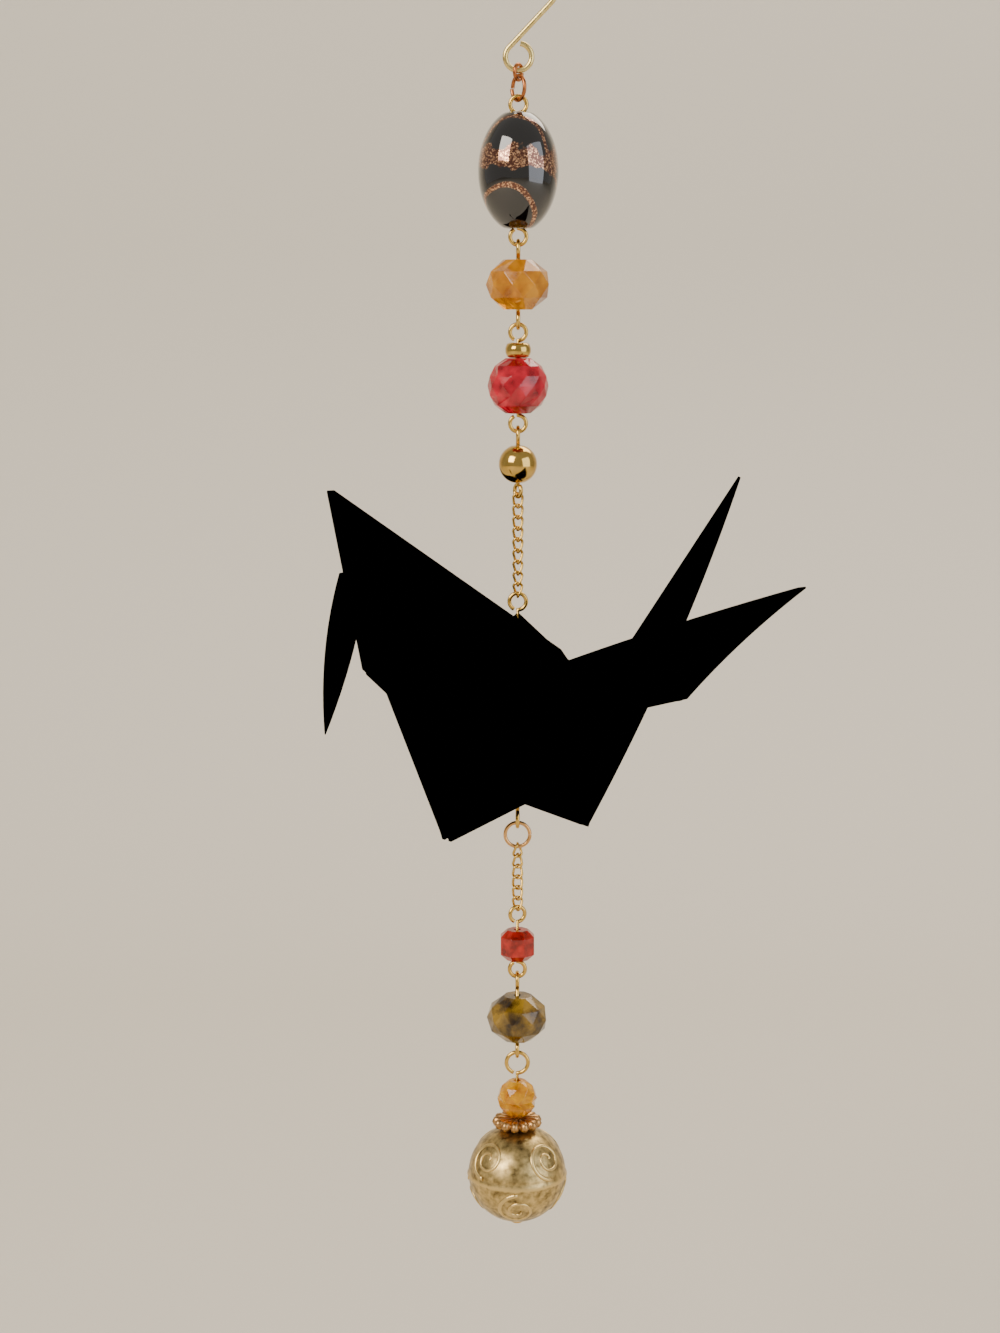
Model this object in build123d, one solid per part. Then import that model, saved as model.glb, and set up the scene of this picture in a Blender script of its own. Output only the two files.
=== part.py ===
from build123d import *
from math import acos, atan, cos, degrees, hypot, pi, radians, sin, sqrt, tan
import os

# Hanging ornament: a crane folded from one square sheet, threaded on a wire string of beads.
# Millimetres and degrees. The origin is the centre of the hook's crook, +Z is up, and the
# string hangs straight down the Z axis. A turn of 0 is a loop seen face on from -Y.

# Folded sheet
sheet_side = 150.0
paper = 0.12
peak_slope = 16.0
head_corner_drop = 4.9
tail_corner_drop = 6.3
corner_opening = 1.9
crotch_opening = 5.2
wing_bend_radius = 2.7
near_wing_lift = 23.6
far_wing_lift = 31.5
near_wing_curl = 8.0
far_wing_curl = 0.0
near_wing_sag = 4.7
far_wing_sag = 0.8
near_wing_keel = 3.6
far_wing_keel = 0.0
keel_growth = 1.6
keel_fading = 2.0
near_wing_yaw = 6.2
far_wing_yaw = 0.0
neck_rise = 67.0
neck_length = 46.9
neck_swing = 3.0
head_fold_slope = 7.2
head_gape = 4.0
head_swell = 1.2
tail_rise = 53.5
tail_swing = 10.0
tail_swell = 1.9
strip_opening = 1.5
tail_tip_opening = 0.1
tail_tip_cut = 0.028
head_tip_cut = 0.015
crane_turn = -53.0
seam_gap = 0.16
pin_hole_gap = 0.10
crane_foot_gap = 1.35
peak_layers = 2
ridge_layers = 2
side_layers = 5
flap_layers = 2
wing_layers = 2
wing_tip_cut = 1.8
flap_tip_cut = 0.8
strip_layers = 4
strip_fill = 0.6
strip_least_gap = 0.25
wing_rows = 6
bend_rows = 4
flat_within = 1e-6

# Hook of flat wire
crook_radius = 6.5
crook_end = 202.0
hook_eye_radius = 2.0
shank_slope = 46.0
hook_wire_width = 0.75
hook_wire_depth = 0.85
hook_eye_gap = 0.10
hook_ring_gap = 0.16
crook_steps = 18
hook_eye_steps = 24

# Round wire of the pins and rings
pin_wire = 0.65
ring_wire = 0.60
link_wire = 0.42
loop_gap = 0.05
cut_gap = 0.12
wire_sides = 6
eye_steps = 6
eye_cut_gap = 0.28
eye_neck = 0.9
ring_steps = 16

# Radii of rings and eyes to the middle of the wire
first_ring_radius = 1.15
second_ring_radius = 1.83
third_ring_radius = 1.97
eye_radius = 1.25
small_eye_radius = 0.95
crane_eye_radius = 1.32
wide_eye_radius = 1.75

# Chain links, between wire centres
link_length = 2.23
link_width = 1.45
link_twist = 45.0
link_bend_steps = 4
upper_links = 9
lower_links = 6
upper_chain_turn = -15.0
upper_chain_wind = -3.75
lower_chain_turn = 45.0
lower_chain_wind = -14.0

# Cuts of the glass: rows of width share, height share and half-step turns, from the end to the middle
diamond_cut = [(0.46, 1.0, 1), (0.90, 0.52, 0), (1.0, 0.0, 1)]
fine_cut = [(0.42, 1.0, 1), (0.76, 0.72, 0), (0.955, 0.36, 1), (1.0, 0.0, 0)]
barrel_cut = [(0.60, 1.0, 1), (1.0, 0.58, 1)]

# Beads and spacers
bead_hole = 1.10
bead_play = 0.05
black_width = 12.4
black_length = 17.4
black_end = 4.2
black_dimple = 0.40
black_bands = 12
amber_width = 10.0
amber_length = 7.6
amber_sides = 9
spacer_width = 4.0
spacer_length = 2.3
spacer_end_share = 0.72
spacer_edge_share = 0.4
red_width = 9.5
red_length = 8.5
red_sides = 12
ball_width = 6.0
ball_length = 5.7
ball_end = 1.9
ball_bands = 8
barrel_width = 5.8
barrel_length = 5.0
barrel_sides = 8
smoky_width = 9.9
smoky_length = 7.4
smoky_sides = 9
drop_width = 6.5
drop_length = 6.0
drop_sides = 8
daisy_width = 8.3
daisy_length = 1.8
daisy_knobs = 13
daisy_knob_rows = 4
daisy_crown_share = 0.78
daisy_hub_share = 0.8
daisy_dip_width = 0.84
daisy_dip_length = 0.55
scroll_width = 15.9
scroll_length = 15.6
scroll_end = 2.6
scroll_bands = 10
scroll_belt = 0.55
scroll_rise = 0.22
scroll_line = 0.85
scroll_crest = 0.51
scroll_reach = 3.3
scroll_eye = 0.16
scroll_turns = 1.75
scroll_steps = 14
scrolls_around = 4
scroll_start = -135.0
scroll_latitude = 31.0
large_bead_sides = 32
small_bead_sides = 20
head_width = 2.2
head_length = 0.7


# Solids with flat faces
def direction(turn):
    return Vector(cos(radians(turn)), sin(radians(turn)), 0)


def closed_solid(polygons):
    volume = 0
    for polygon in polygons:
        for second, third in zip(polygon[1:-1], polygon[2:]):
            volume += polygon[0].dot(second.cross(third))
    if volume < 0:
        polygons = [polygon[::-1] for polygon in polygons]
    return Solid(Shell([Face(Wire.make_polygon(polygon)) for polygon in polygons]))


# A skin joins rings of points; a patch that isn't flat is split along its shorter diagonal
def skin(rings, closed=False):
    polygons = []
    for index in range(len(rings) if closed else len(rings) - 1):
        first, second = rings[index], rings[(index + 1) % len(rings)]
        for start in range(len(first)):
            end = (start + 1) % len(first)
            patch = [first[start], first[end], second[end], second[start]]
            normal = (patch[1] - patch[0]).cross(patch[2] - patch[0])
            bend = abs((patch[3] - patch[0]).dot(normal)) / max(normal.length, 1e-9)
            if bend < flat_within:
                polygons.append(patch)
            elif (patch[2] - patch[0]).length <= (patch[3] - patch[1]).length:
                polygons += [patch[:3], [patch[0], patch[2], patch[3]]]
            else:
                polygons += [[patch[0], patch[1], patch[3]], patch[1:]]
    if not closed:
        polygons += [rings[0][::-1], rings[-1]]
    return closed_solid(polygons)


# A slab is a fan of triangles given a thickness by one shift
def slab(corners, shift, from_share=-0.5):
    lower = [corner + shift * from_share for corner in corners]
    upper = [corner + shift * (from_share + 1) for corner in corners]
    polygons = []
    for index in range(1, len(corners) - 1):
        polygons.append([upper[0], upper[index], upper[index + 1]])
        polygons.append([lower[0], lower[index + 1], lower[index]])
    for index in range(len(corners)):
        after = (index + 1) % len(corners)
        polygons.append([lower[index], lower[after], upper[after], upper[index]])
    return closed_solid(polygons)


# Wire sections and bent wire with mitred corners
def round_section(diameter):
    steps = [2 * pi * (side + 0.5) / wire_sides for side in range(wire_sides)]
    return [(diameter / 2 * cos(step), diameter / 2 * sin(step)) for step in steps]


def flat_section(width, depth):
    return [(-width / 2, -depth / 2), (width / 2, -depth / 2), (width / 2, depth / 2), (-width / 2, depth / 2)]


def bent_wire(path, section, side):
    runs = [(after - before).normalized() for before, after in zip(path, path[1:])]
    across = (side - runs[0] * side.dot(runs[0])).normalized()
    over = runs[0].cross(across)
    rings = [[path[0] + across * a + over * b for a, b in section]]
    for index in range(1, len(path)):
        run = runs[index - 1]
        mitre = (run + runs[index]).normalized() if index < len(runs) else run
        slides = [(path[index] - point).dot(mitre) / run.dot(mitre) for point in rings[-1]]
        rings.append([point + run * slide for point, slide in zip(rings[-1], slides)])
    return skin(rings)


# An eye starts at the stem, has a corner at its far side and stops short of the stem
def eye_path(stem_end, radius, turn, upward):
    closing = degrees((pin_wire / 2 + eye_cut_gap) / radius)
    angles = [180 * step / eye_steps for step in range(eye_steps + 1)]
    angles += [180 + (180 - closing) * step / eye_steps for step in range(1, eye_steps + 1)]
    middle = Vector(0, 0, stem_end + upward * radius)
    points = []
    for angle in angles:
        sideways = direction(turn) * (radius * sin(radians(angle)))
        points.append(middle + sideways - Vector(0, 0, upward * radius * cos(radians(angle))))
    return points


def eye_pin(stem_top, stem_bottom, upper_eye, lower_eye):
    upper = eye_path(stem_top, *upper_eye, 1)
    lower = eye_path(stem_bottom, *lower_eye, -1)
    return bent_wire(lower[::-1] + upper, round_section(pin_wire), Vector(0, 0, 1))


# The ring's cut is at one side, with its two ends slightly apart
def jump_ring(top, radius, turn):
    cut = cut_gap / radius
    points = []
    for step in range(ring_steps + 1):
        share = step / ring_steps
        angle = cut / 2 + (2 * pi - cut) * share
        spread = direction(turn + 90) * (cut_gap * (share - 0.5))
        around = direction(turn) * (radius * cos(angle)) + Vector(0, 0, radius * sin(angle))
        points.append(Vector(0, 0, top - radius) + around + spread)
    return bent_wire(points, round_section(ring_wire), direction(turn + 90))


# The link's two ends are twisted apart, so that each lies across its neighbour's wire
def chain_link(top, turn):
    half_length, half_width = link_length / 2, link_width / 2
    rings = []
    for end in (1, -1):
        for step in range(link_bend_steps + 1):
            angle = pi * step / link_bend_steps
            height = end * (half_length - half_width + half_width * sin(angle))
            ahead = direction(turn + link_twist * height / half_length)
            beside = Vector(0, 0, 1).cross(ahead)
            centre = ahead * (end * half_width * cos(angle)) + Vector(0, 0, top - half_length + height)
            outward = ahead * (end * cos(angle)) + Vector(0, 0, end * sin(angle))
            rings.append([centre + outward * a + beside * b for a, b in round_section(link_wire)])
    return skin(rings, closed=True)


# Faceted glass: an outline of radius, height and half-step turns, repeated round the hole
def faceted(outline, sides):
    rings = []
    for side in range(sides):
        angles = [2 * pi * (side + half_steps / 2) / sides for radius, height, half_steps in outline]
        ring = [Vector(row[0] * cos(angle), row[0] * sin(angle), row[1]) for row, angle in zip(outline, angles)]
        rings.append(ring)
    return skin(rings, closed=True)


def cut_bead(top, width, length, sides, cut):
    half = length / 2
    rows = [(bead_hole / 2, half, cut[0][2])]
    rows += [(width / 2 * across, half * up, half_steps) for across, up, half_steps in cut]
    lower = [(radius, -height, half_steps) for radius, height, half_steps in rows[::-1] if height > 0]
    outline = [(radius, top - half + height, half_steps) for radius, height, half_steps in rows + lower]
    return faceted(outline, sides)


# Round beads follow an outline of radius and depth below the top
def turned(top, outline, sides):
    return faceted([(radius, top - depth, 0) for radius, depth in outline], sides)


def ball_outline(width, length, end_width, bands, dimple=0.0):
    rise = acos(end_width / width)
    angles = [rise * (1 - 2 * band / bands) for band in range(bands + 1)]
    curve = [(width / 2 * cos(angle), length / 2 * (1 - sin(angle) / sin(rise))) for angle in angles]
    return [(bead_hole / 2, dimple)] + curve + [(bead_hole / 2, length - dimple)]


# Daisy spacer: a ring of small knobs round the hole
def daisy(top):
    rows = daisy_knobs * daisy_knob_rows
    rings = []
    for row in range(rows):
        swell = sin(pi * (row % daisy_knob_rows) / daisy_knob_rows)
        outer = daisy_width / 2 * (daisy_dip_width + (1 - daisy_dip_width) * swell)
        half = daisy_length / 2 * (daisy_dip_length + (1 - daisy_dip_length) * swell)
        upper = [(bead_hole / 2, half * daisy_hub_share), (outer * daisy_crown_share, half)]
        knob = upper + [(outer, 0)] + [(radius, -height) for radius, height in upper[::-1]]
        middle = Vector(0, 0, top - daisy_length / 2)
        ahead = direction(360 * row / rows)
        rings.append([middle + ahead * radius + Vector(0, 0, height) for radius, height in knob])
    return skin(rings, closed=True)


# Flat fold pattern of the sheet, from its centre: across the crease lines and up from the legs' fold
leg_length = sheet_side / 2
peak_height = sheet_side * (sqrt(2) - 1) / 2
narrowing = tan(radians(90 / 8))
shoulder_height = (peak_height - leg_length * narrowing) / (1 + narrowing)
widest_height = leg_length * (tan(radians(22.5)) - narrowing) / (tan(radians(22.5)) + narrowing)
flap_height = hypot(leg_length, peak_height) - leg_length


def crease_half_width(height):
    return (leg_length + height) * narrowing


def wing_half_width(height):
    return min(crease_half_width(height), (leg_length - height) * tan(radians(22.5)))


def flap_inner_width(height):
    rise = (height - flap_height) / (widest_height - flap_height)
    return max(rise, 0) * wing_half_width(widest_height) + seam_gap / 2


# Opened body, in its own frame: peak at the origin, near wing along +X, tail along +Y
shoulder_out = (peak_height - shoulder_height) * sin(radians(peak_slope))
shoulder_down = (peak_height - shoulder_height) * cos(radians(peak_slope))
ridge_slope = 2 * atan(tan(radians(peak_slope / 2)) ** 2)
corner_drop = {-1: head_corner_drop, 1: tail_corner_drop}
wing_lift = {1: near_wing_lift, -1: far_wing_lift}
wing_curl = {1: near_wing_curl, -1: far_wing_curl}
wing_sag = {1: near_wing_sag, -1: far_wing_sag}
wing_keel = {1: near_wing_keel, -1: far_wing_keel}
wing_yaw = {1: near_wing_yaw, -1: far_wing_yaw}


def shoulder(side, end):
    return Vector(side * shoulder_out, end * crease_half_width(shoulder_height), -shoulder_down)


def bottom_corner(side, end):
    fall = shoulder_height + corner_drop[end]
    inward = shoulder_out - corner_opening / 2
    along = end * crease_half_width(-corner_drop[end])
    return Vector(side * corner_opening / 2, along, -shoulder_down - sqrt(fall**2 - inward**2))


def centre_point(side, height):
    share = 1 - height / shoulder_height
    inward = share * (shoulder_out - crotch_opening / 2)
    fall = shoulder_height - height
    return Vector(side * (shoulder_out - inward), 0, -shoulder_down - sqrt(fall**2 - inward**2))


def ridge_foot(end):
    return Vector(0, end * peak_height * sin(ridge_slope), -peak_height * cos(ridge_slope))


# Wing: a tight bend out of the body's side, then a blade that may curl, sag behind its front edge
# and be pressed down along its middle like a keel
def bend_turn(side):
    return radians(90 + peak_slope - wing_lift[side] - wing_curl[side] / 2)


def wing_profile(side, height):
    run = height - shoulder_height
    start = radians(90 + peak_slope)
    turned_by = min(run / wing_bend_radius, bend_turn(side))
    heading = start - turned_by
    out = shoulder_out + wing_bend_radius * (sin(start) - sin(heading))
    up = -shoulder_down + wing_bend_radius * (cos(heading) - cos(start))
    # The curl turns the blade evenly, so the way it has run points half way between its two headings
    blade = run - turned_by * wing_bend_radius
    curled_by = radians(wing_curl[side]) * blade / (leg_length - shoulder_height)
    out += blade * cos(heading - curled_by / 2)
    up += blade * sin(heading - curled_by / 2)
    return out, up, heading - curled_by


def wing_drop(side, height, across):
    rise = (height - shoulder_height) / (widest_height - shoulder_height)
    fall = (leg_length - wing_tip_cut - height) / (leg_length - wing_tip_cut - widest_height)
    behind_front = (1 + across / wing_half_width(height)) / 2
    inside = 1 - abs(across) / wing_half_width(height)
    keel = wing_keel[side] * min(1, keel_growth * rise, keel_fading * fall)
    return wing_sag[side] * min(rise, fall) * behind_front + keel * inside


def wing_point(side, height, across, depth):
    out, up, heading = wing_profile(side, height)
    along = across + (out - shoulder_out) * tan(radians(wing_yaw[side]))
    below = depth + wing_drop(side, height, across)
    return Vector(side * (out + below * sin(heading)), along, up - below * cos(heading))


def wing_heights(side, end_height):
    bend_length = wing_bend_radius * bend_turn(side)
    rows = [shoulder_height + bend_length * row / bend_rows for row in range(bend_rows + 1)]
    for start, end in ((rows[-1], widest_height), (widest_height, end_height)):
        rows += [start + (end - start) * row / wing_rows for row in range(1, wing_rows + 1)]
    return [height for height in rows if height <= end_height + flat_within]


def wing(side):
    thick = wing_layers * paper
    rings = []
    for height in wing_heights(side, leg_length - wing_tip_cut):
        edge = wing_half_width(height)
        seam = min(seam_gap / 2, edge / 4)
        outline = [(-edge, 0), (0, 0), (edge, 0), (edge, thick), (seam, thick), (seam, thick / 2)]
        outline += [(-seam, thick / 2), (-seam, thick), (-edge, thick)]
        rings.append([wing_point(side, height, across, depth - thick) for across, depth in outline])
    return skin(rings)


# The narrowed edge of the sheet lies as a flap under the wing's root
def wing_flap(side, end):
    thick = flap_layers * paper
    rings = []
    for height in wing_heights(side, widest_height - flap_tip_cut):
        inner, outer = flap_inner_width(height), wing_half_width(height)
        outline = [(inner, -paper / 2), (outer, -paper / 2), (outer, thick), (inner, thick)]
        rings.append([wing_point(side, height, end * across, depth) for across, depth in outline])
    return skin(rings)


def body_side(side):
    outward = Vector(side, 0, 0)
    parts = [slab([Vector(0, 0, 0), shoulder(side, -1), shoulder(side, 1)], outward * (peak_layers * paper), -1)]
    low, high = centre_point(side, 0), centre_point(side, shoulder_height)
    flap_sunk = paper / 2
    flap_thick = flap_layers * paper + flap_sunk
    for end in (-1, 1):
        corner, top = bottom_corner(side, end), shoulder(side, end)
        parts.append(slab([top, high, low, corner], outward * (side_layers * paper), -1))
        off_seam = Vector(0, end * seam_gap / 2, 0)
        flap_top = high + Vector(0, end * flap_inner_width(shoulder_height), 0)
        flap_corners = [top, flap_top, centre_point(side, flap_height) + off_seam, low + off_seam, corner]
        parts.append(slab(flap_corners, outward * flap_thick, -flap_sunk / flap_thick))
        foot = ridge_foot(end)
        parts.append(slab([top, Vector(0, 0, 0), foot, corner], outward * (ridge_layers * paper)))
    return parts


# Neck, head and tail: the narrowed legs, each a strip folded along its ridge and open at its edges
def strip_ring(ridge, edge, opening):
    thick = strip_layers * paper
    width = (edge - ridge).length
    along = (edge - ridge).normalized()
    inner = min(2 * thick * width / opening, strip_fill * width)
    out = Vector(opening / 2, 0, 0)
    gap = Vector(max(opening / 2 - thick, strip_least_gap * opening / 2), 0, 0)
    return [ridge - along * thick, edge + out, edge + gap, ridge + along * inner, edge - gap, edge - out]


def strip_part(ridge, edge, tip, share):
    return ridge + (tip - ridge) * share, edge + (tip - edge) * share


def leg_tip(end, rise, swing):
    reach = (leg_length - corner_drop[end]) / cos(radians(90 / 8))
    corner = (bottom_corner(1, end) + bottom_corner(-1, end)) / 2
    level = reach * cos(radians(rise))
    return corner, corner + Vector(-level * sin(radians(swing)), end * level * cos(radians(swing)), reach * sin(radians(rise)))


def neck_and_head():
    corner, tip = leg_tip(-1, neck_rise, neck_swing)
    foot = ridge_foot(-1)
    edge_end = corner + (tip - corner).normalized() * neck_length
    slope = tan(radians(head_fold_slope))
    ridge_run = tip - foot
    # The head's fold runs up from the open edge to the ridge at the fold slope
    rise = edge_end.Z - foot.Z + slope * (foot.Y - edge_end.Y)
    share = rise / (ridge_run.Z - slope * ridge_run.Y)
    ridge_end = foot + ridge_run * share
    neck = skin([strip_ring(foot, corner, corner_opening), strip_ring(ridge_end, edge_end, strip_opening)])
    fold = (ridge_end - edge_end).normalized()
    reach = tip - edge_end
    head_tip = edge_end + fold * (2 * reach.dot(fold)) - reach
    rings = []
    for share in (0.0, 0.25, 0.5, 0.75, 1 - head_tip_cut):
        middle = 4 * share * (1 - share)
        ridge, edge = strip_part(ridge_end, edge_end, head_tip, share)
        ridge += (ridge - edge).normalized() * (head_swell * middle)
        rings.append(strip_ring(ridge, edge, strip_opening * (1 - share) + head_gape * middle))
    return [neck, skin(rings)]


def tail():
    corner, tip = leg_tip(1, tail_rise, tail_swing)
    foot = ridge_foot(1)
    rings = []
    for share in (0.0, 0.25, 0.5, 0.75, 1 - tail_tip_cut):
        ridge, edge = strip_part(foot, corner, tip, share)
        edge += (edge - ridge).normalized() * (tail_swell * 4 * share * (1 - share))
        rings.append(strip_ring(ridge, edge, corner_opening * (1 - share) + tail_tip_opening))
    return [skin(rings)]


def crane(peak):
    parts = neck_and_head() + tail()
    for side in (1, -1):
        parts += body_side(side)
        parts.append(wing(side))
        parts += [wing_flap(side, end) for end in (-1, 1)]
    whole = parts[0].fuse(*parts[1:])
    hole = Cylinder(pin_wire / 2 + pin_hole_gap, 3 * peak_height)
    return Pos(0, 0, peak) * Rot(0, 0, crane_turn) * (whole - hole)


# Hook: a crook, a straight shank across the string and a closed eye
def hook(eye_middle):
    shank_turn = shank_slope - 90
    points = []
    for step in range(crook_steps + 1):
        angle = radians(crook_end + (shank_turn - crook_end) * step / crook_steps)
        points.append(Vector(crook_radius * cos(angle), 0, crook_radius * sin(angle)))
    closing = degrees(acos(1 - (hook_wire_width + hook_eye_gap) / hook_eye_radius))
    for step in range(hook_eye_steps + 1):
        angle = radians(shank_turn + 180 + (360 - closing) * step / hook_eye_steps)
        points.append(Vector(hook_eye_radius * cos(angle), 0, eye_middle + hook_eye_radius * sin(angle)))
    return bent_wire(points, flat_section(hook_wire_width, hook_wire_depth), Vector(0, 0, 1))


def black_bead(top):
    outline = ball_outline(black_width, black_length, black_end, black_bands, black_dimple)
    return turned(top + black_dimple, outline, large_bead_sides)


# A scroll is a raised spiral laid on the bead round one direction from its middle
def scroll(middle, around, up, hand):
    outward = direction(around) * cos(radians(up)) + Vector(0, 0, sin(radians(up)))
    east = direction(around + 90)
    north = outward.cross(east)
    radius = scroll_width / 2
    rings = []
    for step in range(scroll_steps + 1):
        share = step / scroll_steps
        lean = scroll_reach / radius * (scroll_eye + (1 - scroll_eye) * share)
        sweep = hand * 2 * pi * scroll_turns * share
        ahead = east * cos(sweep) + north * sin(sweep)
        normal = outward * cos(lean) + ahead * sin(lean)
        beside = ahead * cos(lean) - outward * sin(lean)
        low, high = normal * (radius - scroll_rise), normal * (radius + scroll_rise)
        foot, crest = beside * (scroll_line / 2), beside * (scroll_crest / 2)
        ring = [low - foot, low + foot, high + crest, high - crest]
        rings.append([Vector(point.X, point.Y, middle + point.Z * scroll_length / scroll_width) for point in ring])
    return skin(rings)


def scroll_bead(top):
    outline = ball_outline(scroll_width, scroll_length, scroll_end, scroll_bands)
    middle = scroll_bands // 2 + 1
    radius, depth = outline[middle]
    belt = [(radius, depth - scroll_belt), (radius + scroll_rise, depth - scroll_belt / 2)]
    belt += [(radius + scroll_rise, depth + scroll_belt / 2), (radius, depth + scroll_belt)]
    bead = turned(top, outline[:middle] + belt + outline[middle + 1:], large_bead_sides)
    scrolls = []
    for number in range(2 * scrolls_around):
        upward = 1 - 2 * (number % 2)
        around = scroll_start + 180 * number / scrolls_around
        scrolls.append(scroll(top - depth, around, upward * scroll_latitude, upward))
    return bead.fuse(*scrolls)


def head_pin(stem_top, stem_bottom, eye):
    stem = [Vector(0, 0, stem_bottom)] + eye_path(stem_top, *eye, 1)
    wire = bent_wire(stem, round_section(pin_wire), direction(eye[1]))
    head = Pos(0, 0, stem_bottom - head_length / 2) * Cylinder(head_width / 2, head_length)
    return wire.fuse(head)


# Pieces from the top down, and the height and turn of the wire each hanging piece swings on
pieces = {}
swings = {}


def hang(name, upper_bottom, upper_turn, upper_wire, lower_wire):
    swings[name] = (upper_bottom, upper_turn)
    return upper_bottom + (upper_wire + lower_wire) / 2 + loop_gap


def add_ring(name, top, radius, turn):
    pieces[name] = jump_ring(top, radius, turn)
    return top - 2 * radius


# Each threaded piece is a name, the length it takes up and the function that makes it below a height
def cut_piece(name, width, length, sides, cut):
    return name, length, lambda top: cut_bead(top, width, length, sides, cut)


def thread(stem_top, neck, threaded):
    height = stem_top - neck - pin_wire / 2 - bead_play
    for name, length, make in threaded:
        pieces[name] = make(height)
        height -= length + bead_play
    return height


def add_pin(name, top, upper_eye, threaded, lower_eye, neck=0.0):
    stem_top = top - 2 * upper_eye[0]
    stem_bottom = thread(stem_top, neck, threaded) - pin_wire / 2
    pieces[name] = eye_pin(stem_top, stem_bottom, upper_eye, lower_eye)
    return stem_bottom - 2 * lower_eye[0]


def add_chain(name, count, level, turn, wire, first_turn, wind):
    for number in range(count):
        link_turn = first_turn + wind * number
        link = f"{name}_{number + 1}"
        top = hang(link, level, turn, wire, link_wire)
        if number % 2:
            swings[link] = (top, link_turn + link_twist)
        pieces[link] = chain_link(top, link_turn)
        level, turn, wire = top - link_length, link_turn - link_twist, link_wire
    return level, turn


eye_middle = -(crook_radius + hook_eye_radius) / cos(radians(shank_slope))
pieces["hanger_hook"] = hook(eye_middle)

top = hang("jump_ring_1", eye_middle - hook_eye_radius, 0, hook_wire_width, ring_wire) + hook_ring_gap
level = add_ring("jump_ring_1", top, first_ring_radius, 60)
top = hang("jump_ring_2", level, 60, ring_wire, ring_wire)
level = add_ring("jump_ring_2", top, second_ring_radius, 120)

threaded = [("black_bead", black_length - 2 * black_dimple, black_bead)]
top = hang("eye_pin_1", level, 120, ring_wire, pin_wire)
level = add_pin("eye_pin_1", top, (eye_radius, 0), threaded, (eye_radius, 0))

threaded = [cut_piece("amber_rondelle", amber_width, amber_length, amber_sides, diamond_cut)]
top = hang("eye_pin_2", level, 0, pin_wire, pin_wire)
level = add_pin("eye_pin_2", top, (eye_radius, 90), threaded, (eye_radius, 90))

spacer_edge = spacer_length * (1 - spacer_edge_share) / 2
spacer_rows = [(bead_hole / 2, 0), (spacer_width / 2 * spacer_end_share, 0), (spacer_width / 2, spacer_edge)]
spacer_rows += [(radius, spacer_length - depth) for radius, depth in spacer_rows[::-1]]
threaded = [("gold_spacer", spacer_length, lambda top: turned(top, spacer_rows, small_bead_sides))]
threaded.append(cut_piece("red_rondelle", red_width, red_length, red_sides, fine_cut))
top = hang("eye_pin_3", level, 90, pin_wire, pin_wire)
level = add_pin("eye_pin_3", top, (eye_radius, 0), threaded, (eye_radius, 0))

ball_rows = ball_outline(ball_width, ball_length, ball_end, ball_bands)
threaded = [("gold_ball", ball_length, lambda top: turned(top, ball_rows, small_bead_sides))]
top = hang("eye_pin_4", level, 0, pin_wire, pin_wire)
level = add_pin("eye_pin_4", top, (eye_radius, 90), threaded, (small_eye_radius, 120))

level, turn = add_chain("chain_link", upper_links, level, 120, pin_wire, upper_chain_turn, upper_chain_wind)

threaded = [("folded_crane", crane_foot_gap - centre_point(1, 0).Z, crane)]
top = hang("eye_pin_5", level, turn, link_wire, pin_wire)
level = add_pin("eye_pin_5", top, (crane_eye_radius, 0), threaded, (crane_eye_radius, 90))

top = hang("jump_ring_3", level, 90, pin_wire, ring_wire)
level = add_ring("jump_ring_3", top, third_ring_radius, 0)

level, turn = add_chain("lower_chain_link", lower_links, level, 0, ring_wire, lower_chain_turn, lower_chain_wind)

threaded = [cut_piece("small_red_bead", barrel_width, barrel_length, barrel_sides, barrel_cut)]
top = hang("eye_pin_6", level, turn, link_wire, pin_wire)
level = add_pin("eye_pin_6", top, (eye_radius, turn + 90), threaded, (eye_radius, 0), eye_neck)

threaded = [cut_piece("smoky_rondelle", smoky_width, smoky_length, smoky_sides, diamond_cut)]
top = hang("eye_pin_7", level, 0, pin_wire, pin_wire)
level = add_pin("eye_pin_7", top, (eye_radius, 90), threaded, (eye_radius, 90), eye_neck)

threaded = [cut_piece("small_amber_bead", drop_width, drop_length, drop_sides, fine_cut)]
threaded += [("daisy_spacer", daisy_length, daisy), ("scroll_bead", scroll_length, scroll_bead)]
top = hang("head_pin", level, 90, pin_wire, pin_wire)
stem_top = top - 2 * wide_eye_radius
pieces["head_pin"] = head_pin(stem_top, thread(stem_top, eye_neck, threaded), (wide_eye_radius, 0))

os.makedirs("parts", exist_ok=True)
for name, piece in pieces.items():
    export_step(piece, f"parts/{name}.step")
    box = piece.bounding_box()
    print(f"{name:20} {box.size.X:7.2f} {box.size.Y:7.2f} {box.max.Z:8.2f} to {box.min.Z:8.2f}  swings on {swings.get(name)}")
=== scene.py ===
import bmesh
import bpy
import math
from mathutils import Matrix, Vector


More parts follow.
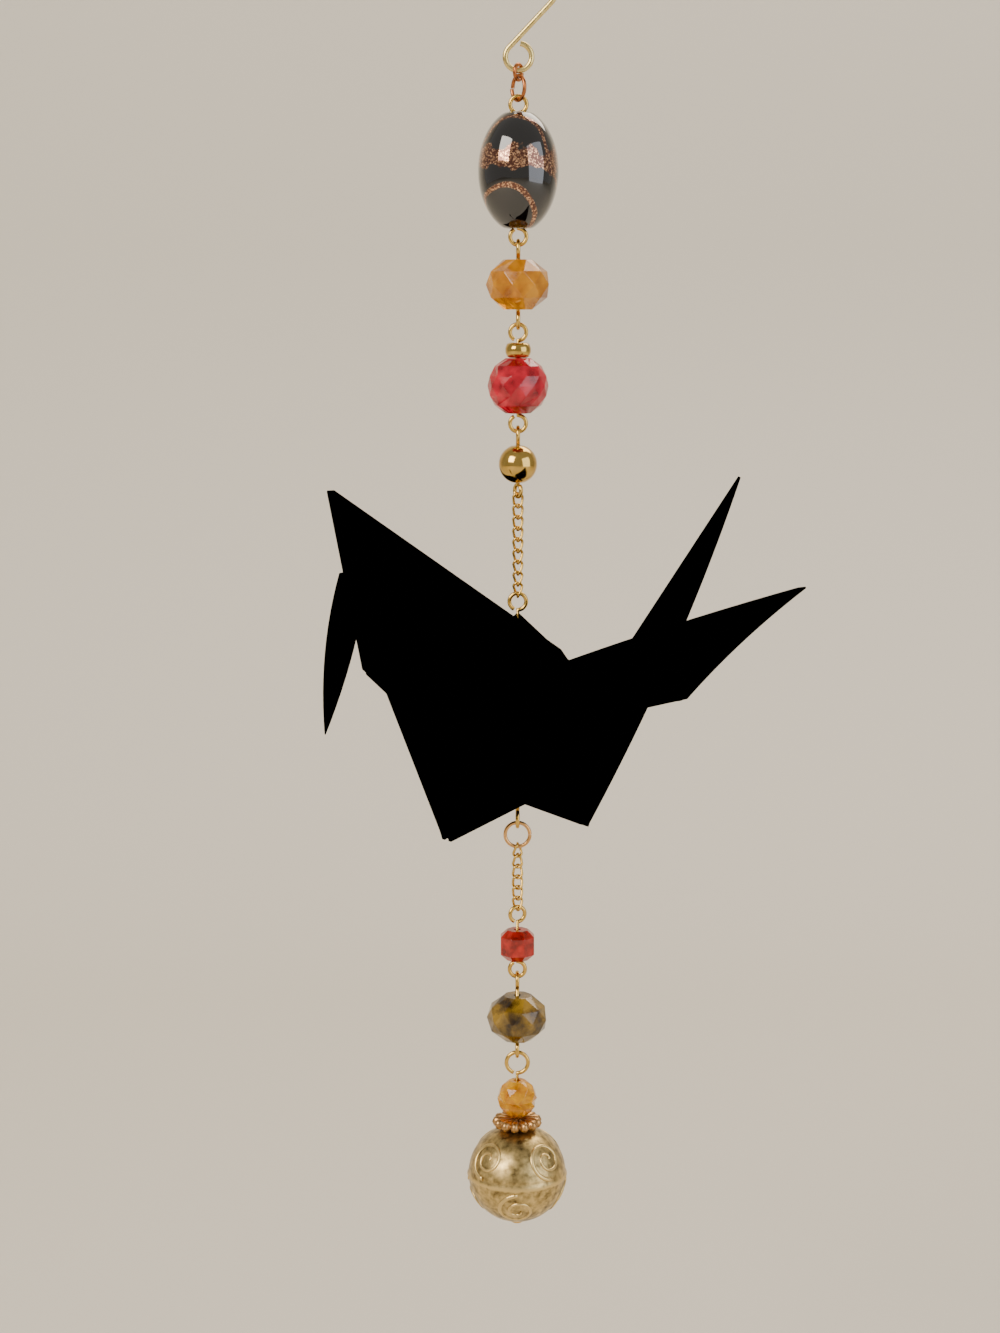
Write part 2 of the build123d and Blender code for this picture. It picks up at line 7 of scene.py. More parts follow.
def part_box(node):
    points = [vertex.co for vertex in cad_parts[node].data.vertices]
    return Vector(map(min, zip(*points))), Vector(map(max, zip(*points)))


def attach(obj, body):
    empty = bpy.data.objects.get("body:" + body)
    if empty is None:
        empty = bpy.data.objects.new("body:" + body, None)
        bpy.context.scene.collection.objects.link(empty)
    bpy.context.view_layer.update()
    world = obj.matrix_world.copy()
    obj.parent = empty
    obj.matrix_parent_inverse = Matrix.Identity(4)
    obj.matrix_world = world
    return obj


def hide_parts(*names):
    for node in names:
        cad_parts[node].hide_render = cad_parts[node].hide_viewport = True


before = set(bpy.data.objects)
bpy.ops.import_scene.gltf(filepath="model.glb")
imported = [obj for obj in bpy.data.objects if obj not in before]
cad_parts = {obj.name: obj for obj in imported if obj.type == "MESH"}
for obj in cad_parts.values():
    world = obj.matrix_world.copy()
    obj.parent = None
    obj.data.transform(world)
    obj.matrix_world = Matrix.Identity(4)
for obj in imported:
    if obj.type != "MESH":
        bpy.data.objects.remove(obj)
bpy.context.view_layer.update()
mm = 0.001


# Colours are written as sRGB hex and turned to linear here
def hexColour(text, alpha=1.0):
    parts = [int(text[i:i + 2], 16) / 255 for i in (1, 3, 5)]
    return [p / 12.92 if p <= 0.04045 else ((p + 0.055) / 1.055) ** 2.4 for p in parts] + [alpha]


# One node with its settings and links; a number picks an unnamed socket
def addNode(tree, kind, settings=None, links=None):
    node = tree.nodes.new(kind)
    for name, value in (settings or {}).items():
        if isinstance(name, str) and hasattr(node, name):
            setattr(node, name, value)
        else:
            node.inputs[name].default_value = value
    for name, source in (links or {}).items():
        tree.links.new(source, node.inputs[name])
    return node


def startMaterial(name, settings):
    material = bpy.data.materials.new(name)
    material.use_nodes = True
    tree = material.node_tree
    shader = tree.nodes["Principled BSDF"]
    for socket, value in settings.items():
        shader.inputs[socket].default_value = value
    return material, tree, shader


# Camera at the photograph's place: 359 mm in front of the string and looking 9 degrees down
cameraSet = {"place": (-2.8 * mm, -359 * mm, -48.99 * mm), "pitch": 9.0, "focalPixels": 2300, "framePixels": 1333}
lightSet = {
    "key": {"place": (-0.75, -0.75, 0.55), "size": 0.7, "watts": 17.0, "colour": "#FFF6EA"},
    "fill": {"place": (0.8, -0.6, 0.15), "size": 0.9, "watts": 7.0, "colour": "#EEF3FF"},
    "back": {"place": (0.25, 0.45, 0.6), "size": 0.6, "watts": 7.0, "colour": "#FFF2E0"},
    "world": {"colour": "#E8E4DC", "strength": 0.55},
}
stageSet = {"floorDepth": 0.275, "wallDistance": 0.62, "halfWidth": 1.6, "bend": 0.25, "colour": "#CFC8BA"}


def makeCamera():
    data = bpy.data.cameras.new("camera")
    data.sensor_width = 36.0
    data.lens = cameraSet["focalPixels"] / cameraSet["framePixels"] * data.sensor_width
    data.dof.use_dof = False
    data.clip_start = 0.01
    camera = bpy.data.objects.new("camera", data)
    camera.location = cameraSet["place"]
    camera.rotation_euler = (math.radians(90 - cameraSet["pitch"]), 0, 0)
    bpy.context.scene.collection.objects.link(camera)
    bpy.context.scene.camera = camera


def makeLights():
    for name in ("key", "fill", "back"):
        row = lightSet[name]
        data = bpy.data.lights.new(name, "AREA")
        data.size = row["size"]
        data.energy = row["watts"]
        data.color = hexColour(row["colour"])[:3]
        lamp = bpy.data.objects.new(name, data)
        lamp.location = row["place"]
        aim = Vector((0, 0, -0.1)) - lamp.location
        lamp.rotation_euler = aim.to_track_quat("-Z", "Y").to_euler()
        bpy.context.scene.collection.objects.link(lamp)
    world = bpy.data.worlds.new("softRoom")
    world.use_nodes = True
    background = world.node_tree.nodes["Background"]
    background.inputs["Color"].default_value = hexColour(lightSet["world"]["colour"])
    background.inputs["Strength"].default_value = lightSet["world"]["strength"]
    bpy.context.scene.world = world


# A floor that curves up into a plain wall
def makeStage():
    rows = [(-1.6, -stageSet["floorDepth"]), (0.0, -stageSet["floorDepth"])]
    bend = stageSet["bend"]
    for step in range(13):
        angle = math.radians(90 * step / 12)
        along = stageSet["wallDistance"] - bend + bend * math.sin(angle)
        rows.append((along, -stageSet["floorDepth"] + bend - bend * math.cos(angle)))
    rows.append((stageSet["wallDistance"], 1.4))
    half = stageSet["halfWidth"]
    points = [(side * half, y, z) for y, z in rows for side in (-1, 1)]
    faces = [(2 * i, 2 * i + 1, 2 * i + 3, 2 * i + 2) for i in range(len(rows) - 1)]
    mesh = bpy.data.meshes.new("paleStage")
    mesh.from_pydata(points, [], faces)
    mesh.shade_smooth()
    stage = bpy.data.objects.new("paleStage", mesh)
    bpy.context.scene.collection.objects.link(stage)
    settings = {"Base Color": hexColour(stageSet["colour"]), "Roughness": 0.85}
    stage.data.materials.append(startMaterial("mattePaintedBoard", settings)[0])


makeCamera()
makeLights()
makeStage()
print("camera, lights and stage made")


# Metals: a soft fine noise breaks up the shine, a tint follows it
def metalMaterial(name, light, dark, roughness, grainMm, bump=0.02):
    material, tree, shader = startMaterial(name, {"Metallic": 1.0, "Roughness": roughness})
    place = addNode(tree, "ShaderNodeTexCoord").outputs["Object"]
    grain = addNode(tree, "ShaderNodeTexNoise", {"Scale": 1 / (grainMm * mm), "Detail": 3.0}, {"Vector": place})
    tone = addNode(tree, "ShaderNodeMix", {"data_type": "RGBA", 6: hexColour(dark), 7: hexColour(light)},
                   {0: grain.outputs["Fac"]})
    tree.links.new(tone.outputs[2], shader.inputs["Base Color"])
    rough = addNode(tree, "ShaderNodeMapRange", {"To Min": roughness * 0.7, "To Max": roughness * 1.4},
                    {"Value": grain.outputs["Fac"]})
    tree.links.new(rough.outputs["Result"], shader.inputs["Roughness"])
    lift = addNode(tree, "ShaderNodeBump", {"Strength": bump, "Distance": 0.05 * mm}, {"Height": grain.outputs["Fac"]})
    tree.links.new(lift.outputs["Normal"], shader.inputs["Normal"])
    return material


# Gold-plated brass wire, drawn and bright
goldWire = metalMaterial("goldPlatedDrawnWire", "#E2BE6A", "#B98E3C", 0.20, 0.6)
# Flat wire of the hook is a paler gilt with satin faces
paleGilt = metalMaterial("paleGiltFlatWire", "#EFDD9A", "#C9A85A", 0.26, 0.8)
# Plain copper rings have darkened a little
copperWire = metalMaterial("darkenedCopperWire", "#C07A4A", "#8E5430", 0.28, 0.5)
# Ring under the crane is a pale rose gilt
roseGilt = metalMaterial("roseGiltWire", "#E3B478", "#C08A50", 0.22, 0.6)
# Polished plated ball and spacer mirror the room
platedBead = metalMaterial("polishedPlatedBead", "#DDB968", "#B08A3C", 0.12, 1.2, 0.01)
# Cast daisy spacer has a warm worn plating
castPlating = metalMaterial("castWornPlating", "#C9A06A", "#94683A", 0.30, 0.5, 0.06)


def link(name, mesh, materials=()):
    piece = bpy.data.objects.new(name, mesh)
    bpy.context.scene.collection.objects.link(piece)
    for material in materials:
        mesh.materials.append(material)
    return piece


def place(piece, node, slotName, body=None):
    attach(piece, body or node)
    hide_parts(node)
    return piece


# A tree's inputs are named sizes; they are set by socket identifier before the first evaluation
def startTree(name, sizes):
    tree = bpy.data.node_groups.new(name, "GeometryNodeTree")
    tree.interface.new_socket("Geometry", in_out="INPUT", socket_type="NodeSocketGeometry")
    for label, kind in sizes.items():
        tree.interface.new_socket(label, in_out="INPUT", socket_type="NodeSocket" + kind)
    tree.interface.new_socket("Geometry", in_out="OUTPUT", socket_type="NodeSocketGeometry")
    return tree, addNode(tree, "NodeGroupInput").outputs


def endTree(tree, geometry, material):
    whole = addNode(tree, "GeometryNodeRealizeInstances", None, {"Geometry": geometry})
    painted = addNode(tree, "GeometryNodeSetMaterial", None, {"Geometry": whole.outputs[0], "Material": material})
    addNode(tree, "NodeGroupOutput", None, {0: painted.outputs[0]})


# Runs a tree on an object and returns the result as a plain mesh object
def grow(name, source, tree, values):
    holder = source or link(name + "Seed", bpy.data.meshes.new(name + "Seed"))
    modifier = holder.modifiers.new("grow", "NODES")
    modifier.node_group = tree
    sockets = {item.name: item.identifier for item in tree.interface.items_tree if item.in_out == "INPUT"}
    for label, value in values.items():
        modifier[sockets[label]] = value
    bpy.context.view_layer.update()
    seen = holder.evaluated_get(bpy.context.evaluated_depsgraph_get())
    mesh = bpy.data.meshes.new_from_object(seen)
    holder.modifiers.remove(modifier)
    bpy.data.objects.remove(holder)
    mesh.name = name
    return link(name, mesh)


# Wire swept along a path: round, or flat where its depth differs
def makeWireTree():
    tree, inputs = startTree("wireAlongPath", {"Wire Width": "Float", "Wire Depth": "Float", "Wire Material": "Material"})
    ring = addNode(tree, "GeometryNodeCurvePrimitiveCircle", {"Resolution": 14, "Radius": 0.5})
    size = addNode(tree, "ShaderNodeCombineXYZ", {"Z": 1.0}, {"X": inputs["Wire Width"], "Y": inputs["Wire Depth"]})
    section = addNode(tree, "GeometryNodeTransform", None, {"Geometry": ring.outputs[0], "Scale": size.outputs[0]})
    swept = addNode(tree, "GeometryNodeCurveToMesh", {"Fill Caps": True},
                    {"Curve": inputs["Geometry"], "Profile Curve": section.outputs[0]})
    smooth = addNode(tree, "GeometryNodeSetShadeSmooth", None, {"Geometry": swept.outputs[0]})
    endTree(tree, smooth.outputs[0], inputs["Wire Material"])
    return tree


wireTree = makeWireTree()


def wireCurve(name, points, closed=False, tilt=0.0):
    data = bpy.data.curves.new(name, "CURVE")
    data.dimensions = "3D"
    data.twist_mode = "MINIMUM"
    spline = data.splines.new("POLY")
    spline.points.add(len(points) - 1)
    for row, point in zip(spline.points, points):
        row.co = (*point, 1.0)
        row.tilt = tilt
    spline.use_cyclic_u = closed
    curve = bpy.data.objects.new(name, data)
    bpy.context.scene.collection.objects.link(curve)
    return curve


def bendWire(name, points, width, depth, material, closed=False, tilt=0.0):
    values = {"Wire Width": width, "Wire Depth": depth, "Wire Material": material}
    return grow(name, wireCurve(name, points, closed, tilt), wireTree, values)


def heading(turn):
    return Vector((math.cos(math.radians(turn)), math.sin(math.radians(turn)), 0))


up = Vector((0, 0, 1))

# Hook: an open crook, a straight shank across the string and a closed eye
hookSet = {"crookRadius": 6.5, "crookEnd": 202.0, "eyeRadius": 2.0, "shankSlope": 46.0, "width": 0.72, "depth": 0.85,
           "eyeGap": 0.10}


def makeHook():
    row = hookSet
    shankTurn = row["shankSlope"] - 90
    eyeHeight = -(row["crookRadius"] + row["eyeRadius"]) / math.cos(math.radians(row["shankSlope"]))
    points = []
    for step in range(73):
        angle = math.radians(row["crookEnd"] + (shankTurn - row["crookEnd"]) * step / 72)
        points.append(Vector((math.cos(angle), 0, math.sin(angle))) * row["crookRadius"] * mm)
    closing = math.degrees(math.acos(1 - (row["width"] + row["eyeGap"]) / row["eyeRadius"]))
    for step in range(61):
        angle = math.radians(shankTurn + 180 + (360 - closing) * step / 60)
        ahead = Vector((math.cos(angle), 0, math.sin(angle))) * row["eyeRadius"]
        points.append((ahead + up * eyeHeight) * mm)
    piece = bendWire("hangerHook", points, row["width"] * mm, row["depth"] * mm, paleGilt)
    place(piece, "hanger_hook", "hook_wire")


makeHook()

# Jump rings: radius to the middle of the wire, turn about the string and the side of the cut
ringSet = {
    "jump_ring_1": {"radius": 1.15, "turn": 60, "material": copperWire, "slot": "copper_ring"},
    "jump_ring_2": {"radius": 1.83, "turn": 120, "material": copperWire, "slot": "copper_ring"},
    "jump_ring_3": {"radius": 1.97, "turn": 0, "material": roseGilt, "slot": "pin_wire"},
}
ringWire = 0.60
ringCut = 0.12


def makeRings():
    for node, row in ringSet.items():
        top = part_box(node)[1].z / mm - ringWire / 2
        cut = ringCut / row["radius"]
        points = []
        for step in range(65):
            share = step / 64
            angle = cut / 2 + (2 * math.pi - cut) * share
            spread = heading(row["turn"] + 90) * (ringCut * (share - 0.5))
            around = heading(row["turn"]) * (row["radius"] * math.cos(angle)) + up * (row["radius"] * math.sin(angle))
            points.append((around + spread + up * (top - row["radius"])) * mm)
        piece = bendWire(node.replace("_", "") + "Wire", points, ringWire * mm, ringWire * mm, row["material"])
        place(piece, node, row["slot"])


makeRings()

# Eye pins: upper and lower eye as radius and turn, on one straight stem
pinWire = 0.65
pinSet = {
    "eye_pin_1": ((1.25, 0), (1.25, 0)), "eye_pin_2": ((1.25, 90), (1.25, 90)), "eye_pin_3": ((1.25, 0), (1.25, 0)),
    "eye_pin_4": ((1.25, 90), (0.95, 120)), "eye_pin_5": ((1.32, 0), (1.32, 90)), "eye_pin_6": ((1.25, 20), (1.25, 0)),
    "eye_pin_7": ((1.25, 90), (1.25, 90)), "head_pin": ((1.75, 0), None),
}
eyeGap = 0.28
headSize = (2.2, 0.7)


def eyePoints(stemEnd, radius, turn, upward):
    closing = math.degrees((pinWire / 2 + eyeGap) / radius)
    points = []
    for step in range(41):
        angle = math.radians((360 - closing) * step / 40)
        shift = heading(turn) * (radius * math.sin(angle))
        points.append(shift + up * (stemEnd + upward * radius * (1 - math.cos(angle))))
    return [p * mm for p in points]


def makePins():
    for node, (upper, lower) in pinSet.items():
        low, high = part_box(node)
        stemTop = high.z / mm - pinWire / 2 - 2 * upper[0]
        points = eyePoints(stemTop, *upper, 1)
        if lower:
            stemBottom = low.z / mm + pinWire / 2 + 2 * lower[0]
            points = eyePoints(stemBottom, *lower, -1)[::-1] + points
        else:
            points = [up * (low.z + headSize[1] * mm * 0.5)] + points
        piece = bendWire(node.replace("_", "") + "Wire", points, pinWire * mm, pinWire * mm, goldWire)
        if not lower:
            addPinHead(piece, low.z)
        place(piece, node, "pin_wire")


def addPinHead(piece, bottom):
    radius, height = headSize[0] / 2 * mm, headSize[1] * mm
    rows = [(0.0, 0.0), (0.7, 0.06), (0.93, 0.3), (1.0, 0.6), (0.9, 1.0), (0.0, 1.0)]
    shape = bmesh.new()
    shape.from_mesh(piece.data)
    rings = []
    for r, h in rows:
        ring = [shape.verts.new(heading(360 * k / 28) * (r * radius) + up * (bottom + h * height)) for k in range(28)]
        rings.append(ring)
    for first, second in zip(rings, rings[1:]):
        for k in range(28):
            shape.faces.new((first[k], first[(k + 1) % 28], second[(k + 1) % 28], second[k])).smooth = True
    bmesh.ops.remove_doubles(shape, verts=[v for ring in (rings[0], rings[-1]) for v in ring], dist=1e-7)
    shape.to_mesh(piece.data)
    shape.free()


makePins()
print("hook, rings and pins made")


# Chain links: an oval of wire with a twist, grown from sizes by one tree
linkSet = {"length": 2.23, "width": 1.45, "wire": 0.42, "twist": 45.0, "steps": 48}
chains = {
    "chain_link": {"count": 9, "turn": -15.0, "wind": -3.75},
    "lower_chain_link": {"count": 6, "turn": 45.0, "wind": -14.0},
}


def makeLinkTree():
    sizes = {"Link Length": "Float", "Link Width": "Float", "Wire": "Float", "Twist": "Float", "Turn": "Float",
             "Middle Height": "Float", "Wire Material": "Material"}
    tree, inputs = startTree("twistedChainLink", sizes)
    half = addNode(tree, "ShaderNodeMath", {"operation": "MULTIPLY", 1: 0.5}, {0: inputs["Link Width"]}).outputs[0]
    ring = addNode(tree, "GeometryNodeCurvePrimitiveCircle", {"Resolution": linkSet["steps"]}, {"Radius": half})
    spot = addNode(tree, "ShaderNodeSeparateXYZ", None, {0: addNode(tree, "GeometryNodeInputPosition").outputs[0]})
    # The circle's halves part to the link's length: its Y becomes the height
    tall = addNode(tree, "ShaderNodeMath", {"operation": "SUBTRACT"}, {0: inputs["Link Length"], 1: inputs["Link Width"]})
    apart = addNode(tree, "ShaderNodeMath", {"operation": "MULTIPLY", 1: 0.5}, {0: tall.outputs[0]})
    side = addNode(tree, "ShaderNodeMath", {"operation": "SIGN"}, {0: spot.outputs["Y"]})
    lift = addNode(tree, "ShaderNodeMath", {"operation": "MULTIPLY_ADD"},
                   {0: side.outputs[0], 1: apart.outputs[0], 2: spot.outputs["Y"]})
    share = addNode(tree, "ShaderNodeMath", {"operation": "DIVIDE"}, {0: lift.outputs[0], 1: inputs["Link Length"]})
    lean = addNode(tree, "ShaderNodeMath", {"operation": "MULTIPLY"}, {0: share.outputs[0], 1: inputs["Twist"]})
    angle = addNode(tree, "ShaderNodeMath", {"operation": "MULTIPLY_ADD", 1: 2.0}, {0: lean.outputs[0], 2: inputs["Turn"]})
    across = addNode(tree, "ShaderNodeCombineXYZ", None, {"X": spot.outputs["X"]})
    turned = addNode(tree, "ShaderNodeVectorRotate", {"rotation_type": "Z_AXIS"},
                     {"Vector": across.outputs[0], "Angle": angle.outputs[0]})
    high = addNode(tree, "ShaderNodeMath", {"operation": "ADD"}, {0: lift.outputs[0], 1: inputs["Middle Height"]})
    tallPart = addNode(tree, "ShaderNodeCombineXYZ", None, {"Z": high.outputs[0]})
    whole = addNode(tree, "ShaderNodeVectorMath", {"operation": "ADD"}, {0: turned.outputs[0], 1: tallPart.outputs[0]})
    bent = addNode(tree, "GeometryNodeSetPosition", None, {"Geometry": ring.outputs[0], "Position": whole.outputs[0]})
    thick = addNode(tree, "ShaderNodeMath", {"operation": "MULTIPLY", 1: 0.5}, {0: inputs["Wire"]})
    section = addNode(tree, "GeometryNodeCurvePrimitiveCircle", {"Resolution": 12}, {"Radius": thick.outputs[0]})
    swept = addNode(tree, "GeometryNodeCurveToMesh", None, {"Curve": bent.outputs[0], "Profile Curve": section.outputs[0]})
    smooth = addNode(tree, "GeometryNodeSetShadeSmooth", None, {"Geometry": swept.outputs[0]})
    endTree(tree, smooth.outputs[0], inputs["Wire Material"])
    return tree


def makeChains():
    tree = makeLinkTree()
    for name, row in chains.items():
        for number in range(row["count"]):
            node = f"{name}_{number + 1}"
            low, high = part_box(node)
            values = {
                "Link Length": linkSet["length"] * mm, "Link Width": linkSet["width"] * mm, "Wire": linkSet["wire"] * mm,
                "Twist": math.radians(linkSet["twist"]), "Turn": math.radians(row["turn"] + row["wind"] * number),
                "Middle Height": (low.z + high.z) / 2, "Wire Material": goldWire,
            }
            place(grow(node.replace("_", "") + "Wire", None, tree, values), node, "pin_wire")


makeChains()
print("chains made")
# Glass: cloudy colour through the body, bright facets from its flat faces
def glassMaterial(name, light, dark, patchMm, clear, coat=0.0):
    settings = {"Roughness": 0.05, "Transmission Weight": clear, "IOR": 1.52, "Coat Weight": coat}
    material, tree, shader = startMaterial(name, settings)
    place = addNode(tree, "ShaderNodeTexCoord").outputs["Object"]
    cloud = addNode(tree, "ShaderNodeTexNoise", {"Scale": 1 / (patchMm * mm), "Detail": 2.0}, {"Vector": place})
    sharp = addNode(tree, "ShaderNodeMapRange", {"From Min": 0.35, "From Max": 0.65}, {"Value": cloud.outputs["Fac"]})
    tone = addNode(tree, "ShaderNodeMix", {"data_type": "RGBA", 6: hexColour(dark), 7: hexColour(light)},
                   {0: sharp.outputs["Result"]})
    tree.links.new(tone.outputs[2], shader.inputs["Base Color"])
    return material


# Amber rondelle is pressed glass, honey where thin and brown where thick
amberGlass = glassMaterial("cutAmberGlass", "#F0A81C", "#A8620C", 3.0, 0.55)
# Red rondelle is cut lead glass with a magenta cast
redGlass = glassMaterial("cutRubyGlass", "#E8203A", "#8E0A1C", 2.6, 0.5)
# Small barrel of red glass with bronzed ends
smallRedGlass = glassMaterial("cutScarletGlass", "#D8281A", "#7A1408", 1.8, 0.4)
# Smoky topaz rondelle is darker and olive
smokyGlass = glassMaterial("cutSmokyGlass", "#B08A2C", "#33230E", 2.6, 0.55)
# Small honey bead is clear and yellow
honeyGlass = glassMaterial("cutHoneyGlass", "#F6B80A", "#C27A04", 2.0, 0.6)


# Lampwork bead: black glass with a copper goldstone belt and trails of copper over it; the few pale flakes in the
# copper are painted glints
def lampworkMaterial():
    settings = {"Roughness": 0.06, "IOR": 1.52, "Coat Weight": 1.0}
    material, tree, shader = startMaterial("lampworkBlackAndGoldstone", settings)
    low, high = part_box("black_bead")
    place = addNode(tree, "ShaderNodeTexCoord").outputs["Object"]
    spot = addNode(tree, "ShaderNodeSeparateXYZ", None, {0: place})
    warp = addNode(tree, "ShaderNodeTexNoise", {"Scale": 320.0, "Detail": 2.0}, {"Vector": place})
    # Height in millimetres from the middle of the belt, bent by the noise
    level = addNode(tree, "ShaderNodeMath", {"operation": "SUBTRACT", 1: low.z + 0.60 * (high.z - low.z)}, {0: spot.outputs["Z"]})
    scaled = addNode(tree, "ShaderNodeMath", {"operation": "MULTIPLY", 1: 1000.0}, {0: level.outputs[0]})
    bent = addNode(tree, "ShaderNodeMath", {"operation": "MULTIPLY_ADD", 1: 5.0}, {0: warp.outputs["Fac"], 2: scaled.outputs[0]})
    centred = addNode(tree, "ShaderNodeMath", {"operation": "SUBTRACT", 1: 2.5}, {0: bent.outputs[0]})
    far = addNode(tree, "ShaderNodeMath", {"operation": "ABSOLUTE"}, {0: centred.outputs[0]})
    belt = addNode(tree, "ShaderNodeMapRange", {"From Min": 1.9, "From Max": 1.5}, {"Value": far.outputs[0]})
    trail = addNode(tree, "ShaderNodeTexWave", {"Scale": 55.0, "Distortion": 9.0, "Detail": 1.0, "bands_direction": "DIAGONAL"},
                    {"Vector": place})
    thin = addNode(tree, "ShaderNodeMapRange", {"From Min": 0.955, "From Max": 0.985}, {"Value": trail.outputs["Fac"]})
    # Goldstone flakes are real copper; each cell runs from dark to pale copper, and the pale few are painted glints
    # standing in for flakes that catch the light
    flakes = addNode(tree, "ShaderNodeTexVoronoi", {"Scale": 5200.0}, {"Vector": place})
    flake = addNode(tree, "ShaderNodeSeparateXYZ", None, {0: flakes.outputs["Color"]})
    paintedGlintShare = addNode(tree, "ShaderNodeMapRange", {"From Min": 0.55, "From Max": 0.95}, {"Value": flake.outputs["X"]})
    copperWithPaintedGlints = addNode(tree, "ShaderNodeMix", {"data_type": "RGBA", 6: hexColour("#5E2F18"), 7: hexColour("#F2B98A")},
                     {0: paintedGlintShare.outputs["Result"]})
    where = addNode(tree, "ShaderNodeMath", {"operation": "MAXIMUM"}, {0: belt.outputs["Result"], 1: thin.outputs["Result"]})
    tone = addNode(tree, "ShaderNodeMix", {"data_type": "RGBA", 6: hexColour("#0A0707")},
                   {0: where.outputs[0], 7: copperWithPaintedGlints.outputs[2]})
    shine = addNode(tree, "ShaderNodeMath", {"operation": "MULTIPLY", 1: 0.85}, {0: where.outputs[0]})
    tree.links.new(tone.outputs[2], shader.inputs["Base Color"])
    tree.links.new(shine.outputs[0], shader.inputs["Metallic"])
    return material


lampwork = lampworkMaterial()

# Cast scroll bead is antique gold, dark in its recesses
def scrollMaterial():
    material, tree, shader = startMaterial("antiquedCastGold", {"Metallic": 1.0, "Roughness": 0.34})
    low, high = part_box("scroll_bead")
    place = addNode(tree, "ShaderNodeTexCoord").outputs["Object"]
    middle = addNode(tree, "ShaderNodeVectorMath", {"operation": "SUBTRACT", 1: (0.0, 0.0, (low.z + high.z) / 2)}, {0: place})
    out = addNode(tree, "ShaderNodeVectorMath", {"operation": "LENGTH"}, {0: middle.outputs[0]})
    wear = addNode(tree, "ShaderNodeTexNoise", {"Scale": 900.0, "Detail": 3.0}, {"Vector": place})
    rubbed = addNode(tree, "ShaderNodeMath", {"operation": "MULTIPLY_ADD", 1: 0.0006}, {0: wear.outputs["Fac"], 2: out.outputs["Value"]})
    raised = addNode(tree, "ShaderNodeMapRange", {"From Min": 0.00805, "From Max": 0.00835}, {"Value": rubbed.outputs[0]})
    tone = addNode(tree, "ShaderNodeMix", {"data_type": "RGBA", 6: hexColour("#3E3018"), 7: hexColour("#D9BC7C")},
                   {0: raised.outputs["Result"]})
    lift = addNode(tree, "ShaderNodeBump", {"Strength": 0.08, "Distance": 0.1 * mm}, {"Height": wear.outputs["Fac"]})
    tree.links.new(tone.outputs[2], shader.inputs["Base Color"])
    tree.links.new(lift.outputs["Normal"], shader.inputs["Normal"])
    return material


antiqueGold = scrollMaterial()

beadHole = 1.10
cuts = {
    "diamond": [(0.46, 1.0, 1), (0.90, 0.52, 0), (1.0, 0.0, 1)],
    "fine": [(0.42, 1.0, 1), (0.76, 0.72, 0), (0.955, 0.36, 1), (1.0, 0.0, 0)],
    "barrel": [(0.60, 1.0, 1), (1.0, 0.58, 1)],
}
cutBeads = {
    "amber_rondelle": {"size": (10.0, 7.6), "sides": 9, "cut": "diamond", "material": amberGlass, "slot": "amber_glass"},
    "red_rondelle": {"size": (9.5, 8.5), "sides": 12, "cut": "fine", "material": redGlass, "slot": "red_glass"},
    "small_red_bead": {"size": (5.8, 5.0), "sides": 8, "cut": "barrel", "material": smallRedGlass, "slot": "small_red_glass"},
    "smoky_rondelle": {"size": (9.9, 7.4), "sides": 9, "cut": "diamond", "material": smokyGlass, "slot": "smoky_glass"},
    "small_amber_bead": {"size": (6.5, 6.0), "sides": 8, "cut": "fine", "material": honeyGlass, "slot": "honey_glass"},
}


# Rows of radius, height and half-step turns in millimetres, joined into a ring round the hole
def ringMesh(name, rows, sides, smooth, bevel=0.0):
    shape = bmesh.new()
    rings = []
    for side in range(sides):
        ring = []
        for radius, height, half in rows:
            angle = 2 * math.pi * (side + half / 2) / sides
            ring.append(shape.verts.new(Vector((radius * math.cos(angle), radius * math.sin(angle), height)) * mm))
        rings.append(ring)
    for side in range(sides):
        first, second = rings[side], rings[(side + 1) % sides]
        for k in range(len(rows)):
            after = (k + 1) % len(rows)
            shape.faces.new((first[k], first[after], second[after], second[k])).smooth = smooth
    if not smooth:
        bmesh.ops.connect_verts_nonplanar(shape, angle_limit=0.001, faces=shape.faces[:])
    if bevel:
        bmesh.ops.bevel(shape, geom=shape.edges[:], offset=bevel * mm, segments=1, affect="EDGES")
    bmesh.ops.recalc_face_normals(shape, faces=shape.faces[:])
    mesh = bpy.data.meshes.new(name)
    shape.to_mesh(mesh)
    shape.free()
    return mesh


def makeCutBeads():
    for node, row in cutBeads.items():
        width, length = row["size"]
        half = length / 2
        low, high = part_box(node)
        middle = (low.z + high.z) / 2 / mm
        cut = cuts[row["cut"]]
        upper = [(beadHole / 2, half, cut[0][2])] + [(width / 2 * a, half * b, c) for a, b, c in cut]
        rows = upper + [(a, -b, c) for a, b, c in upper[::-1] if b > 0]
        rows = [(a, middle + b, c) for a, b, c in rows]
        mesh = ringMesh(node.replace("_", "") + "Glass", rows, row["sides"], False, 0.05)
        place(link(mesh.name, mesh, [row["material"]]), node, row["slot"])


makeCutBeads()
print("cut beads made")

# Round beads: width, length, end width and the rows of their curve
roundBeads = {
    "black_bead": {"size": (12.4, 17.4, 4.2), "dimple": 0.40, "material": lampwork, "slot": "black_glass"},
    "gold_ball": {"size": (6.0, 5.7, 1.9), "dimple": 0.0, "material": platedBead, "slot": "gold_bead"},
}
spacerRows = [(0.55, 1.15), (1.35, 1.15), (1.75, 0.95), (1.98, 0.35), (2.0, 0.0)]
daisySet = {"width": 8.3, "length": 1.8, "knobs": 13, "steps": 12}


